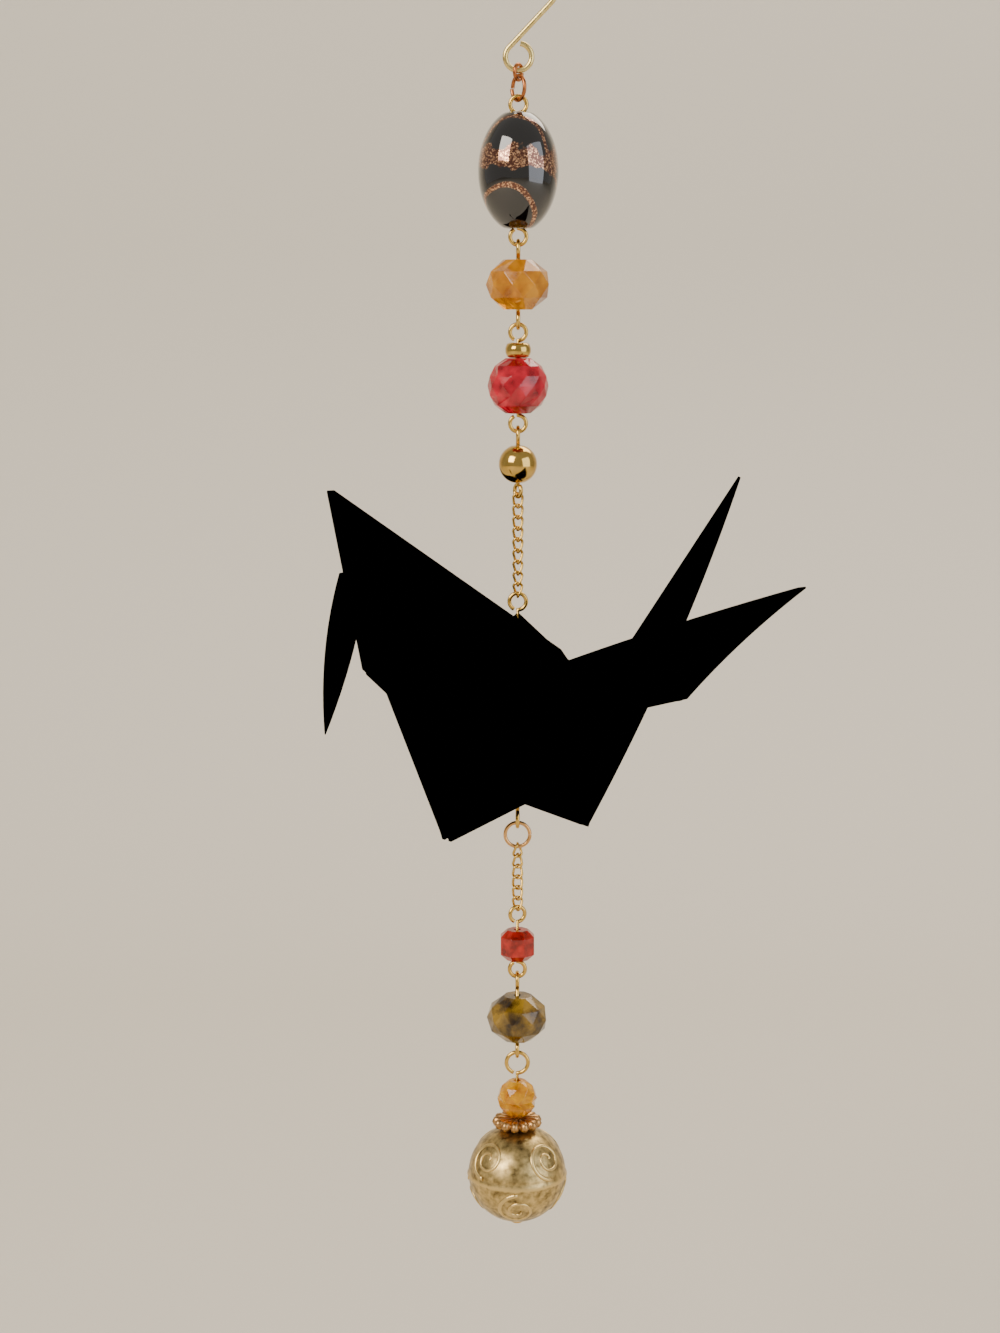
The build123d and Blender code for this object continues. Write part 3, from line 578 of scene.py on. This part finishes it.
def makeRoundBeads():
    for node, row in roundBeads.items():
        width, length, end = row["size"]
        low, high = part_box(node)
        middle = (low.z + high.z) / 2 / mm
        rise = math.acos(end / width)
        curve = [rise * (1 - 2 * k / 40) for k in range(41)]
        rows = [(width / 2 * math.cos(a), length / 2 * math.sin(a) / math.sin(rise), 0) for a in curve]
        rows = [(beadHole / 2, length / 2 - row["dimple"], 0)] + rows + [(beadHole / 2, row["dimple"] - length / 2, 0)]
        mesh = ringMesh(node.replace("_", "") + "Round", [(a, middle + b, c) for a, b, c in rows], 64, True)
        place(link(mesh.name, mesh, [row["material"]]), node, row["slot"])
    low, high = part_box("gold_spacer")
    middle = (low.z + high.z) / 2 / mm
    rows = spacerRows + [(a, -b) for a, b in spacerRows[-2::-1]]
    mesh = ringMesh("goldSpacerRound", [(a, middle + b, 0) for a, b in rows], 48, True)
    place(link(mesh.name, mesh, [platedBead]), "gold_spacer", "gold_bead")


# Daisy spacer: thirteen cast knobs round the hole
def makeDaisy():
    low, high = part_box("daisy_spacer")
    middle = (low.z + high.z) / 2 / mm
    total = daisySet["knobs"] * daisySet["steps"]
    shape = bmesh.new()
    rings = []
    for k in range(total):
        swell = math.sin(math.pi * (k % daisySet["steps"]) / daisySet["steps"]) ** 0.7
        outer = daisySet["width"] / 2 * (0.80 + 0.19 * swell)
        half = daisySet["length"] / 2 * (0.45 + 0.55 * swell)
        rows = [(0.55, half * 0.7), (outer * 0.55, half * 0.82), (outer * 0.74, half), (outer * 0.92, half * 0.75), (outer, 0)]
        rows += [(a, -b) for a, b in rows[-2::-1]]
        ahead = heading(360 * k / total)
        rings.append([shape.verts.new((ahead * a + up * (middle + b)) * mm) for a, b in rows])
    for k in range(total):
        first, second = rings[k], rings[(k + 1) % total]
        for j in range(len(first)):
            after = (j + 1) % len(first)
            shape.faces.new((first[j], first[after], second[after], second[j])).smooth = True
    bmesh.ops.recalc_face_normals(shape, faces=shape.faces[:])
    mesh = bpy.data.meshes.new("daisySpacerCast")
    shape.to_mesh(mesh)
    shape.free()
    place(link(mesh.name, mesh, [castPlating]), "daisy_spacer", "daisy_metal")


# Scroll bead: a ball with a belt and eight raised spirals
scrollSet = {"width": 15.9, "length": 15.6, "end": 2.6, "rise": 0.22, "line": 0.85, "reach": 3.3, "eye": 0.16, "turns": 1.75,
             "start": -135.0, "latitude": 31.0, "steps": 60}


def makeScrollBead():
    row = scrollSet
    low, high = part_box("scroll_bead")
    middle = (low.z + high.z) / 2 / mm
    rise = math.acos(row["end"] / row["width"])
    rows = [(beadHole / 2, row["length"] / 2, 0)]
    for k in range(49):
        a = rise * (1 - 2 * k / 48)
        rows.append((row["width"] / 2 * math.cos(a), row["length"] / 2 * math.sin(a) / math.sin(rise), 0))
    rows.append((beadHole / 2, -row["length"] / 2, 0))
    belt = [(a + (row["rise"] if abs(b) < 0.35 else 0), b, c) for a, b, c in rows]
    mesh = ringMesh("scrollBeadCast", [(a, middle + b, c) for a, b, c in belt], 72, True)
    shape = bmesh.new()
    shape.from_mesh(mesh)
    squash = row["length"] / row["width"]
    for number in range(8):
        upward = 1 - 2 * (number % 2)
        around, tilt = row["start"] + 45 * number, math.radians(upward * row["latitude"])
        outward = heading(around) * math.cos(tilt) + up * math.sin(tilt)
        east = heading(around + 90)
        north = outward.cross(east)
        rings = []
        for k in range(row["steps"] + 1):
            share = k / row["steps"]
            lean = row["reach"] / (row["width"] / 2) * (row["eye"] + (1 - row["eye"]) * share)
            sweep = upward * 2 * math.pi * row["turns"] * share
            ahead = east * math.cos(sweep) + north * math.sin(sweep)
            normal = outward * math.cos(lean) + ahead * math.sin(lean)
            beside = ahead * math.cos(lean) - outward * math.sin(lean)
            wide = row["line"] * (0.55 + 0.45 * share) / 2
            ring = []
            for across, height in ((-1, -0.2), (-0.75, 0.12), (-0.3, 0.215), (0.3, 0.215), (0.75, 0.12), (1, -0.2)):
                point = normal * (row["width"] / 2 + height) + beside * (across * wide)
                ring.append(shape.verts.new(Vector((point.x, point.y, middle + point.z * squash)) * mm))
            rings.append(ring)
        for first, second in zip(rings, rings[1:]):
            for j in range(6):
                after = (j + 1) % 6
                shape.faces.new((first[j], first[after], second[after], second[j])).smooth = True
        shape.faces.new(rings[0])
        shape.faces.new(rings[-1][::-1])
    bmesh.ops.recalc_face_normals(shape, faces=shape.faces[:])
    shape.to_mesh(mesh)
    shape.free()
    place(link(mesh.name, mesh, [antiqueGold]), "scroll_bead", "scroll_metal")


makeRoundBeads()
makeDaisy()
makeScrollBead()
print("round beads, daisy and scroll bead made")

# Crane: one square sheet in its folds, with the sizes of the folded base
craneSet = {
    "sheet": 150.0, "paper": 0.12, "peakSlope": 16.0, "cornerDrop": {-1: 4.9, 1: 6.3}, "cornerOpening": 1.9,
    "crotchOpening": 5.2, "bendRadius": 2.7, "lift": {1: 23.6, -1: 31.5}, "curl": {1: 8.0, -1: 0.0},
    "sag": {1: 4.7, -1: 0.8}, "keel": {1: 3.6, -1: 0.0}, "growth": 1.6, "fading": 2.0, "yaw": {1: 6.2, -1: 0.0},
    "neckRise": 67.0, "neckLength": 46.9, "neckSwing": 3.0, "foldSlope": 7.2, "headGape": 4.0, "headSwell": 1.2,
    "tailRise": 53.5, "tailSwing": 10.0, "tailSwell": 1.9, "stripOpening": 1.5, "turn": -53.0, "tipCut": 1.8,
    "headCut": 0.015, "tailCut": 0.028, "eyeRadius": 1.32, "play": 0.05,
}
legLength = craneSet["sheet"] / 2
peakHeight = craneSet["sheet"] * (math.sqrt(2) - 1) / 2
narrowing = math.tan(math.radians(11.25))
wideSlope = math.tan(math.radians(22.5))
shoulderHeight = (peakHeight - legLength * narrowing) / (1 + narrowing)
widestHeight = legLength * (wideSlope - narrowing) / (wideSlope + narrowing)
flapHeight = math.hypot(legLength, peakHeight) - legLength
slope = math.radians(craneSet["peakSlope"])
shoulderOut = (peakHeight - shoulderHeight) * math.sin(slope)
shoulderDown = (peakHeight - shoulderHeight) * math.cos(slope)
ridgeSlope = 2 * math.atan(math.tan(slope / 2) ** 2)


def creaseHalf(height):
    return (legLength + height) * narrowing


def wingHalf(height):
    return min(creaseHalf(height), (legLength - height) * wideSlope)


def shoulder(side, end):
    return Vector((side * shoulderOut, end * creaseHalf(shoulderHeight), -shoulderDown))


def bottomCorner(side, end):
    drop = craneSet["cornerDrop"][end]
    inward = shoulderOut - craneSet["cornerOpening"] / 2
    low = -shoulderDown - math.sqrt((shoulderHeight + drop) ** 2 - inward ** 2)
    return Vector((side * craneSet["cornerOpening"] / 2, end * creaseHalf(-drop), low))


def centrePoint(side, height):
    inward = (1 - height / shoulderHeight) * (shoulderOut - craneSet["crotchOpening"] / 2)
    fall = shoulderHeight - height
    return Vector((side * (shoulderOut - inward), 0, -shoulderDown - math.sqrt(fall ** 2 - inward ** 2)))


def ridgeFoot(end):
    return Vector((0, end * peakHeight * math.sin(ridgeSlope), -peakHeight * math.cos(ridgeSlope)))


def wingPoint(side, height, across, depth):
    row = craneSet
    start = math.radians(90) + slope
    bend = start - math.radians(row["lift"][side] + row["curl"][side] / 2)
    turned = min((height - shoulderHeight) / row["bendRadius"], bend)
    aim = start - turned
    out = shoulderOut + row["bendRadius"] * (math.sin(start) - math.sin(aim))
    level = -shoulderDown + row["bendRadius"] * (math.cos(aim) - math.cos(start))
    blade = height - shoulderHeight - turned * row["bendRadius"]
    curled = math.radians(row["curl"][side]) * blade / (legLength - shoulderHeight)
    out += blade * math.cos(aim - curled / 2)
    level += blade * math.sin(aim - curled / 2)
    aim -= curled
    rise = (height - shoulderHeight) / (widestHeight - shoulderHeight)
    fall = (legLength - row["tipCut"] - height) / (legLength - row["tipCut"] - widestHeight)
    share = across / wingHalf(height)
    drop = row["sag"][side] * min(rise, fall) * (1 + share) / 2
    drop += row["keel"][side] * min(1, row["growth"] * rise, row["fading"] * fall) * (1 - abs(share))
    along = across + (out - shoulderOut) * math.tan(math.radians(row["yaw"][side]))
    below = depth + drop
    return Vector((side * (out + below * math.sin(aim)), along, level - below * math.cos(aim)))


def legTip(end, rise, swing):
    reach = (legLength - craneSet["cornerDrop"][end]) / math.cos(math.radians(11.25))
    corner = (bottomCorner(1, end) + bottomCorner(-1, end)) / 2
    level = reach * math.cos(math.radians(rise))
    way = Vector((-level * math.sin(math.radians(swing)), end * level * math.cos(math.radians(swing)),
                  reach * math.sin(math.radians(rise))))
    return corner, corner + way


# Where a point of a folded layer lies on the flat sheet, in millimetres from its centre
def onPeak(side, height, across):
    return side * (peakHeight - height), across


def onWingTop(side, height, across):
    return side * (peakHeight + height), across


def onWingUnder(side, height, across):
    reach = math.hypot(across, legLength - height)
    angle = math.radians(45) - math.atan2(abs(across), legLength - height)
    return side * (1.4142 * legLength - reach * math.cos(angle)), math.copysign(reach * math.sin(angle), across)


def onLeg(side, end, reach, angle):
    return side * reach * math.sin(angle), end * (1.4142 * legLength - reach * math.cos(angle))


def onFlap(side, end, height, across):
    angle = math.radians(22.5) + math.atan2(abs(across), height + legLength)
    return onLeg(side, end, math.hypot(across, height + legLength), angle)


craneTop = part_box("eye_pin_5")[1].z / mm - pinWire - 2 * craneSet["eyeRadius"] - craneSet["play"]
craneTurn = Matrix.Rotation(math.radians(craneSet["turn"]), 3, "Z")
craneShape = bmesh.new()
sheetPlace = craneShape.loops.layers.uv.new("sheetPlace")
edgePlace = (-400.0, -400.0)


def cranePoint(point):
    return craneShape.verts.new((craneTurn @ point + up * craneTop) * mm)


# One thickness of paper: two printed faces from grids of points and white cut edges round them
def addSheet(front, back, frontPlace, backPlace, smooth=False):
    rows, cols = len(front), len(front[0])
    outer = [[cranePoint(p) for p in row] for row in front]
    inner = [[cranePoint(p) for p in row] for row in back]

    def face(corners, places, soft):
        made = craneShape.faces.new(corners)
        made.smooth = soft
        for loop, spot in zip(made.loops, places):
            loop[sheetPlace].uv = spot

    for i in range(rows - 1):
        for j in range(cols - 1):
            spots = [(i, j), (i, j + 1), (i + 1, j + 1), (i + 1, j)]
            face([outer[a][b] for a, b in spots], [frontPlace[a][b] for a, b in spots], smooth)
            spots = spots[::-1]
            face([inner[a][b] for a, b in spots], [backPlace[a][b] for a, b in spots], smooth)
    rim = [(0, j) for j in range(cols)] + [(i, cols - 1) for i in range(1, rows)]
    rim += [(rows - 1, j) for j in range(cols - 2, -1, -1)] + [(i, 0) for i in range(rows - 2, 0, -1)]
    for k in range(len(rim)):
        (a, b), (c, d) = rim[k], rim[(k + 1) % len(rim)]
        face([outer[c][d], outer[a][b], inner[a][b], inner[c][d]], [edgePlace] * 4, False)


def blend(first, second, share):
    return first + (second - first) * share


def grid(corners, rows, cols):
    a, b, c, d = corners
    return [[blend(blend(a, b, j / cols), blend(d, c, j / cols), i / rows) for j in range(cols + 1)] for i in range(rows + 1)]


def flatGrid(corners, rows, cols):
    return [[tuple(p) for p in row] for row in grid([Vector(c) for c in corners], rows, cols)]


def addPanel(corners, places, shift, rows=4, cols=4):
    moved = [c + shift for c in corners]
    flat = flatGrid(places, rows, cols)
    addSheet(grid(corners, rows, cols), grid(moved, rows, cols), flat, flat)


def makeBody():
    paper = craneSet["paper"]
    edgeAngle = math.radians(11.25)
    for side in (1, -1):
        outward = Vector((side, 0, 0))
        peak = Vector((0, 0, 0))
        tips = [onPeak(side, peakHeight, 0), onPeak(side, shoulderHeight, -creaseHalf(shoulderHeight))]
        far = onPeak(side, shoulderHeight, creaseHalf(shoulderHeight))
        middle = onPeak(side, shoulderHeight, 0)
        for end, place_ in ((-1, tips[1]), (1, far)):
            # The peak plate's half, from the peak down to the wing's root
            high = (shoulder(side, -1) + shoulder(side, 1)) / 2
            corners = [peak, shoulder(side, end), high, blend(peak, high, 0.5)]
            half = blend(Vector(tips[0]), Vector(middle), 0.5)
            addPanel(corners, [tips[0], place_, middle, half], outward * (-2 * paper), 3, 3)
        for end in (-1, 1):
            top, corner = shoulder(side, end), bottomCorner(side, end)
            high, low = centrePoint(side, shoulderHeight), centrePoint(side, 0)
            drop = craneSet["cornerDrop"][end]
            spots = [onFlap(side, end, shoulderHeight, creaseHalf(shoulderHeight)), onFlap(side, end, shoulderHeight, 0.01),
                     onFlap(side, end, 0, 0.01), onFlap(side, end, -drop, creaseHalf(-drop))]
            addPanel([top, high, low, corner], spots, outward * (-4 * paper), 6, 6)
            # The outer flap's upper corner is cut away where it turns under the wing
            seam = Vector((0, end * 0.08, 0))
            notch = centrePoint(side, flapHeight) + seam
            spots = [onFlap(side, end, shoulderHeight, creaseHalf(shoulderHeight)), onFlap(side, end, flapHeight, 0.01),
                     onFlap(side, end, 0, 0.01), onFlap(side, end, -drop, creaseHalf(-drop))]
            face = [top, notch, low + seam, corner]
            addPanel([c + outward * (2 * paper) for c in face], spots, outward * (-1.9 * paper), 6, 6)
            foot = ridgeFoot(end)
            spots = [onLeg(side, end, 1.4142 * legLength, 0), onLeg(side, end, legLength, 0),
                     onLeg(side, end, legLength - drop, edgeAngle),
                     onLeg(side, end, math.hypot(creaseHalf(shoulderHeight), shoulderHeight + legLength), edgeAngle)]
            thick = outward * paper
            addPanel([c + thick * 0.9 for c in (peak, foot, corner, top)], spots, -2 * thick * 0.9, 6, 6)


def makeWings():
    paper = craneSet["paper"]
    for side in (1, -1):
        bend = craneSet["bendRadius"] * (math.radians(90 - craneSet["lift"][side] - craneSet["curl"][side] / 2) + slope)
        heights = [shoulderHeight + bend * k / 8 for k in range(9)]
        heights += [blend(heights[8], widestHeight, k / 10) for k in range(1, 11)]
        heights += [blend(widestHeight, legLength - craneSet["tipCut"], k / 26) for k in range(1, 27)]
        shares = [k / 6 for k in range(-6, 7)]
        for under, (upper, lower) in enumerate(((-0.24, -0.13), (-0.11, 0.0))):
            # Upper ply is one piece; the lower ply meets itself along the seam
            halves = [shares] if not under else [shares[:7], shares[6:]]
            for part in halves:
                gap = 0.05 if under else 0.0
                front, back, places = [], [], []
                for h in heights:
                    spots = [s * wingHalf(h) for s in part]
                    spots = [max(s, gap) if part[0] == 0 else min(s, -gap) if under else s for s in spots]
                    front.append([wingPoint(side, h, s, upper) for s in spots])
                    back.append([wingPoint(side, h, s, lower) for s in spots])
                    places.append([onWingUnder(side, h, s or 1e-4) if under else onWingTop(side, h, s) for s in spots])
                addSheet(front, back, places, places, True)
        for end in (-1, 1):
            front, back, places = [], [], []
            flapHeights = [h for h in heights if h <= widestHeight - 0.5]
            for h in flapHeights:
                rise = max(0.0, (h - flapHeight) / (widestHeight - flapHeight))
                inner, outer = rise * wingHalf(widestHeight) + 0.08, wingHalf(h)
                spots = [blend(inner, outer, k / 4) for k in range(5)]
                front.append([wingPoint(side, h, end * s, 0.02) for s in spots])
                back.append([wingPoint(side, h, end * s, 2 * paper) for s in spots])
                places.append([onFlap(side, end, h, s) for s in spots])
            addSheet(front, back, places, places, True)


# Neck, head and tail: two plies folded along the ridge and open at their edges
def addStrip(ridges, edges, openings, reaches, end, flip=False):
    thick = 0.34
    for side in (1, -1):
        front, back, places = [], [], []
        for ridge, edge, opening, reach in zip(ridges, edges, openings, reaches):
            lip = edge + Vector((side * opening / 2, 0, 0))
            step = Vector((-side * min(thick, opening / 3 + 0.03), 0, 0))
            front.append([blend(ridge, lip, k / 4) for k in range(5)])
            back.append([blend(ridge, lip + step, k / 4) for k in range(5)])
            turnEdge = math.radians(11.25)
            places.append([onLeg(side, end, reach, math.radians(22.5) + turnEdge * k / 4) for k in range(5)])
        addSheet(front, back, places, places)


def makeStrips():
    row = craneSet
    reach = legLength - row["cornerDrop"][-1]
    corner, tip = legTip(-1, row["neckRise"], row["neckSwing"])
    foot = ridgeFoot(-1)
    edgeEnd = corner + (tip - corner).normalized() * row["neckLength"]
    lean = math.tan(math.radians(row["foldSlope"]))
    run = tip - foot
    share = (edgeEnd.z - foot.z + lean * (foot.y - edgeEnd.y)) / (run.z - lean * run.y)
    ridgeEnd = foot + run * share
    steps = [k / 12 for k in range(13)]
    left = (tip - edgeEnd).length
    openings = [blend(row["cornerOpening"], row["stripOpening"], s) for s in steps]
    reaches = [blend(reach, left, s) for s in steps]
    addStrip([blend(foot, ridgeEnd, s) for s in steps], [blend(corner, edgeEnd, s) for s in steps], openings, reaches, -1)
    fold = (ridgeEnd - edgeEnd).normalized()
    way = tip - edgeEnd
    headTip = edgeEnd + fold * (2 * way.dot(fold)) - way
    ridges, edges, openings, reaches = [], [], [], []
    for s in [k / 12 * (1 - row["headCut"]) for k in range(13)]:
        middle = 4 * s * (1 - s)
        ridge, edge = blend(ridgeEnd, headTip, s), blend(edgeEnd, headTip, s)
        ridges.append(ridge + (ridge - edge).normalized() * (row["headSwell"] * middle))
        edges.append(edge)
        openings.append(row["stripOpening"] * (1 - s) + row["headGape"] * middle)
        reaches.append(left * (1 - s))
    addStrip(ridges, edges, openings, reaches, -1)
    corner, tip = legTip(1, row["tailRise"], row["tailSwing"])
    foot = ridgeFoot(1)
    reach = legLength - row["cornerDrop"][1]
    ridges, edges, openings, reaches = [], [], [], []
    for s in [k / 20 * (1 - row["tailCut"]) for k in range(21)]:
        ridge, edge = blend(foot, tip, s), blend(corner, tip, s)
        ridges.append(ridge)
        edges.append(edge + (edge - ridge).normalized() * (row["tailSwell"] * 4 * s * (1 - s)))
        openings.append(row["cornerOpening"] * (1 - s) + 0.1)
        reaches.append(reach * (1 - s))
    addStrip(ridges, edges, openings, reaches, 1)


# Printed flowers: one group makes a bloom with petals, veins, outline and a dotted heart
def makeBloomGroup():
    tree = bpy.data.node_groups.new("printedBloom", "ShaderNodeTree")
    kinds = {"Ground": "Color", "Place": "Vector", "Centre": "Vector", "Radius": "Float", "Petals": "Float", "Turn": "Float",
             "Petal": "Color", "Petal Base": "Color", "Rim": "Color", "Line": "Color", "Heart": "Color"}
    for label, kind in kinds.items():
        tree.interface.new_socket(label, in_out="INPUT", socket_type="NodeSocket" + kind)
    tree.interface.new_socket("Colour", in_out="OUTPUT", socket_type="NodeSocketColor")
    inputs = addNode(tree, "NodeGroupInput").outputs

    def maths(kind, *values):
        settings = {k: v for k, v in enumerate(values) if isinstance(v, (int, float))}
        links = {k: v for k, v in enumerate(values) if not isinstance(v, (int, float))}
        return addNode(tree, "ShaderNodeMath", {"operation": kind, **settings}, links).outputs[0]

    def step(value, low, high):
        return addNode(tree, "ShaderNodeMapRange", {"From Min": low, "From Max": high}, {"Value": value}).outputs["Result"]

    def cover(base, paint, share):
        mix = addNode(tree, "ShaderNodeMix", {"data_type": "RGBA"}, {0: share, 6: base, 7: paint})
        return mix.outputs[2]

    away = addNode(tree, "ShaderNodeVectorMath", {"operation": "SUBTRACT"}, {0: inputs["Place"], 1: inputs["Centre"]})
    parts = addNode(tree, "ShaderNodeSeparateXYZ", None, {0: away.outputs[0]})
    length = addNode(tree, "ShaderNodeVectorMath", {"operation": "LENGTH"}, {0: away.outputs[0]})
    wobble = addNode(tree, "ShaderNodeTexNoise", {"Scale": 0.16, "Detail": 2.0}, {"Vector": inputs["Place"]})
    reach = maths("DIVIDE", length.outputs["Value"], inputs["Radius"])
    reach = maths("ADD", reach, maths("MULTIPLY", maths("SUBTRACT", wobble.outputs["Fac"], 0.5), 0.35))
    angle = maths("ADD", maths("ARCTAN2", parts.outputs["Y"], parts.outputs["X"]), inputs["Turn"])
    wave = maths("ABSOLUTE", maths("COSINE", maths("MULTIPLY", angle, maths("MULTIPLY", inputs["Petals"], 0.5))))
    edge = maths("ADD", 0.72, maths("MULTIPLY", maths("POWER", wave, 0.6), 0.28))
    outside = step(maths("SUBTRACT", reach, edge), -0.01, 0.0)
    depth = maths("SUBTRACT", edge, reach)
    shade = step(reach, 0.25, 0.85)
    petal = cover(inputs["Petal Base"], inputs["Petal"], shade)
    # Veins are fine strokes that run from the heart and end inside the petal
    strokes = maths("SINE", maths("MULTIPLY", angle, maths("MULTIPLY", inputs["Petals"], 7.0)))
    vein = maths("MULTIPLY", step(strokes, 0.86, 0.98), maths("MULTIPLY", step(reach, 0.22, 0.3), step(reach, 0.68, 0.45)))
    petal = cover(petal, inputs["Line"], maths("MULTIPLY", vein, 0.75))
    parting = maths("MULTIPLY", step(wave, 0.10, 0.04), step(reach, 0.2, 0.3))
    petal = cover(petal, inputs["Line"], parting)
    petal = cover(petal, inputs["Rim"], step(depth, 0.10, 0.085))
    petal = cover(petal, inputs["Line"], step(depth, 0.035, 0.02))
    heart = cover(petal, inputs["Heart"], step(reach, 0.24, 0.20))
    dots = addNode(tree, "ShaderNodeTexVoronoi", {"Scale": 0.75}, {"Vector": inputs["Place"]})
    seeds = maths("MULTIPLY", step(dots.outputs["Distance"], 0.32, 0.26), step(reach, 0.42, 0.34))
    heart = cover(heart, inputs["Line"], seeds)
    # The ground comes last, so that a long row of blooms stays small in memory
    addNode(tree, "NodeGroupOutput", None, {0: cover(heart, inputs["Ground"], outside)})
    return tree


# Centre and radius in millimetres on the flat sheet, petals, turn, then colours of petal, base, rim, line and heart
white, ink, rose, scarlet, gold, plum = "#F6F3F4", "#1B1416", "#F7909A", "#E8323F", "#F2B23C", "#6A3A52"
blooms = [
    ((-85, 6), 21, 7, 0.2, white, white, white, ink, rose),
    ((-60, -10), 19, 8, 0.7, "#F08A3A", "#4A3A30", gold, ink, "#7C8A63"),
    ((-64, 20), 11, 6, 0.0, white, "#E8E4E8", white, ink, "#4A4246"),
    ((82, -17), 17, 7, 0.4, "#DC2436", "#F08088", "#E9E11F", ink, plum),
    ((72, 21), 14, 6, 1.0, white, white, white, ink, "#3E4A40"),
    ((58, -38), 13, 6, 0.3, "#B81E63", "#2A2634", "#7FB7C6", ink, "#2A2634"),
    ((56, 36), 15, 5, 0.9, "#3A4A44", "#8FB09A", "#E8323F", ink, ink),
    ((38, -38), 18, 6, 0.5, gold, "#F08A3A", "#4A4246", "#4A4246", "#3A3238"),
    ((40, 40), 18, 5, 0.1, white, white, white, ink, rose),
    ((23, -62), 16, 6, 0.8, white, white, white, ink, white),
    ((31, -47), 11, 7, 0.0, white, white, white, ink, ink),
    ((13, -80), 12, 5, 0.4, "#F7A0A0", scarlet, rose, plum, scarlet),
    ((7, -95), 9, 5, 1.1, "#F4B8A8", scarlet, rose, ink, scarlet),
    ((23, 62), 14, 6, 0.2, "#F09AA8", plum, "#E9E11F", ink, plum),
    ((14, 82), 12, 5, 0.9, "#F2909A", "#F7C0C4", "#E9E11F", ink, plum),
    ((5, 99), 8, 5, 0.4, "#D8506A", plum, gold, ink, ink),
    ((10, 6), 15, 6, 0.6, "#3A1E24", "#4A2A2E", "#C8963C", ink, "#B03038"),
    ((-14, -10), 13, 6, 0.2, "#C8A8A8", "#8A6A6E", "#3A1E24", ink, "#3A1E24"),
    ((-38, -38), 16, 6, 0.3, "#F0A0A8", white, rose, ink, plum),
    ((-38, 40), 17, 6, 0.9, white, white, white, ink, "#4A4246"),
    ((-24, -60), 15, 6, 0.4, "#E9E11F", scarlet, gold, ink, plum),
    ((-24, 62), 14, 6, 0.4, rose, white, "#E9E11F", ink, plum),
]


# Printed washi-like paper: red ground with blooms, white where it is cut or where there is no print
def printedPaper():
    material, tree, shader = startMaterial("printedFoldingPaper", {"Roughness": 0.42, "Coat Weight": 0.12})
    place = addNode(tree, "ShaderNodeUVMap", {"uv_map": "sheetPlace"}).outputs["UV"]
    group = makeBloomGroup()
    mottle = addNode(tree, "ShaderNodeTexNoise", {"Scale": 0.09, "Detail": 3.0}, {"Vector": place})
    patch = addNode(tree, "ShaderNodeTexNoise", {"Scale": 0.035, "Detail": 1.0}, {"Vector": place})
    share = addNode(tree, "ShaderNodeMapRange", {"From Min": 0.52, "From Max": 0.56}, {"Value": patch.outputs["Fac"]})
    red = addNode(tree, "ShaderNodeMix", {"data_type": "RGBA", 6: hexColour("#D8242F"), 7: hexColour("#F0525A")},
                  {0: mottle.outputs["Fac"]})
    ground = addNode(tree, "ShaderNodeMix", {"data_type": "RGBA", 7: hexColour("#F58A90")},
                     {0: share.outputs["Result"], 6: red.outputs[2]}).outputs[2]
    for centre, radius, petals, turn, petal, base, rim, line, heart in blooms[::-1]:
        settings = {"node_tree": group, "Centre": (*centre, 0.0), "Radius": radius, "Petals": petals, "Turn": turn,
                    "Petal": hexColour(petal), "Petal Base": hexColour(base), "Rim": hexColour(rim), "Line": hexColour(line),
                    "Heart": hexColour(heart)}
        ground = addNode(tree, "ShaderNodeGroup", settings, {"Ground": ground, "Place": place}).outputs[0]
    # Anything mapped outside the sheet is a cut edge, bare white paper
    spot = addNode(tree, "ShaderNodeSeparateXYZ", None, {0: place})
    bare = addNode(tree, "ShaderNodeMath", {"operation": "LESS_THAN", 1: -200.0}, {0: spot.outputs["X"]})
    tone = addNode(tree, "ShaderNodeMix", {"data_type": "RGBA", 7: hexColour("#F2EEE8")}, {0: bare.outputs[0], 6: ground})
    fibre = addNode(tree, "ShaderNodeTexNoise", {"Scale": 1.6, "Detail": 4.0}, {"Vector": place})
    lift = addNode(tree, "ShaderNodeBump", {"Strength": 0.10, "Distance": 0.05 * mm}, {"Height": fibre.outputs["Fac"]})
    tree.links.new(tone.outputs[2], shader.inputs["Base Color"])
    tree.links.new(lift.outputs["Normal"], shader.inputs["Normal"])
    return material


makeBody()
makeWings()
makeStrips()
bmesh.ops.recalc_face_normals(craneShape, faces=craneShape.faces[:])
craneMesh = bpy.data.meshes.new("foldedCranePaper")
craneShape.to_mesh(craneMesh)
craneShape.free()
place(link("foldedCranePaper", craneMesh, [printedPaper()]), "folded_crane", "printed_paper")
print("crane made")
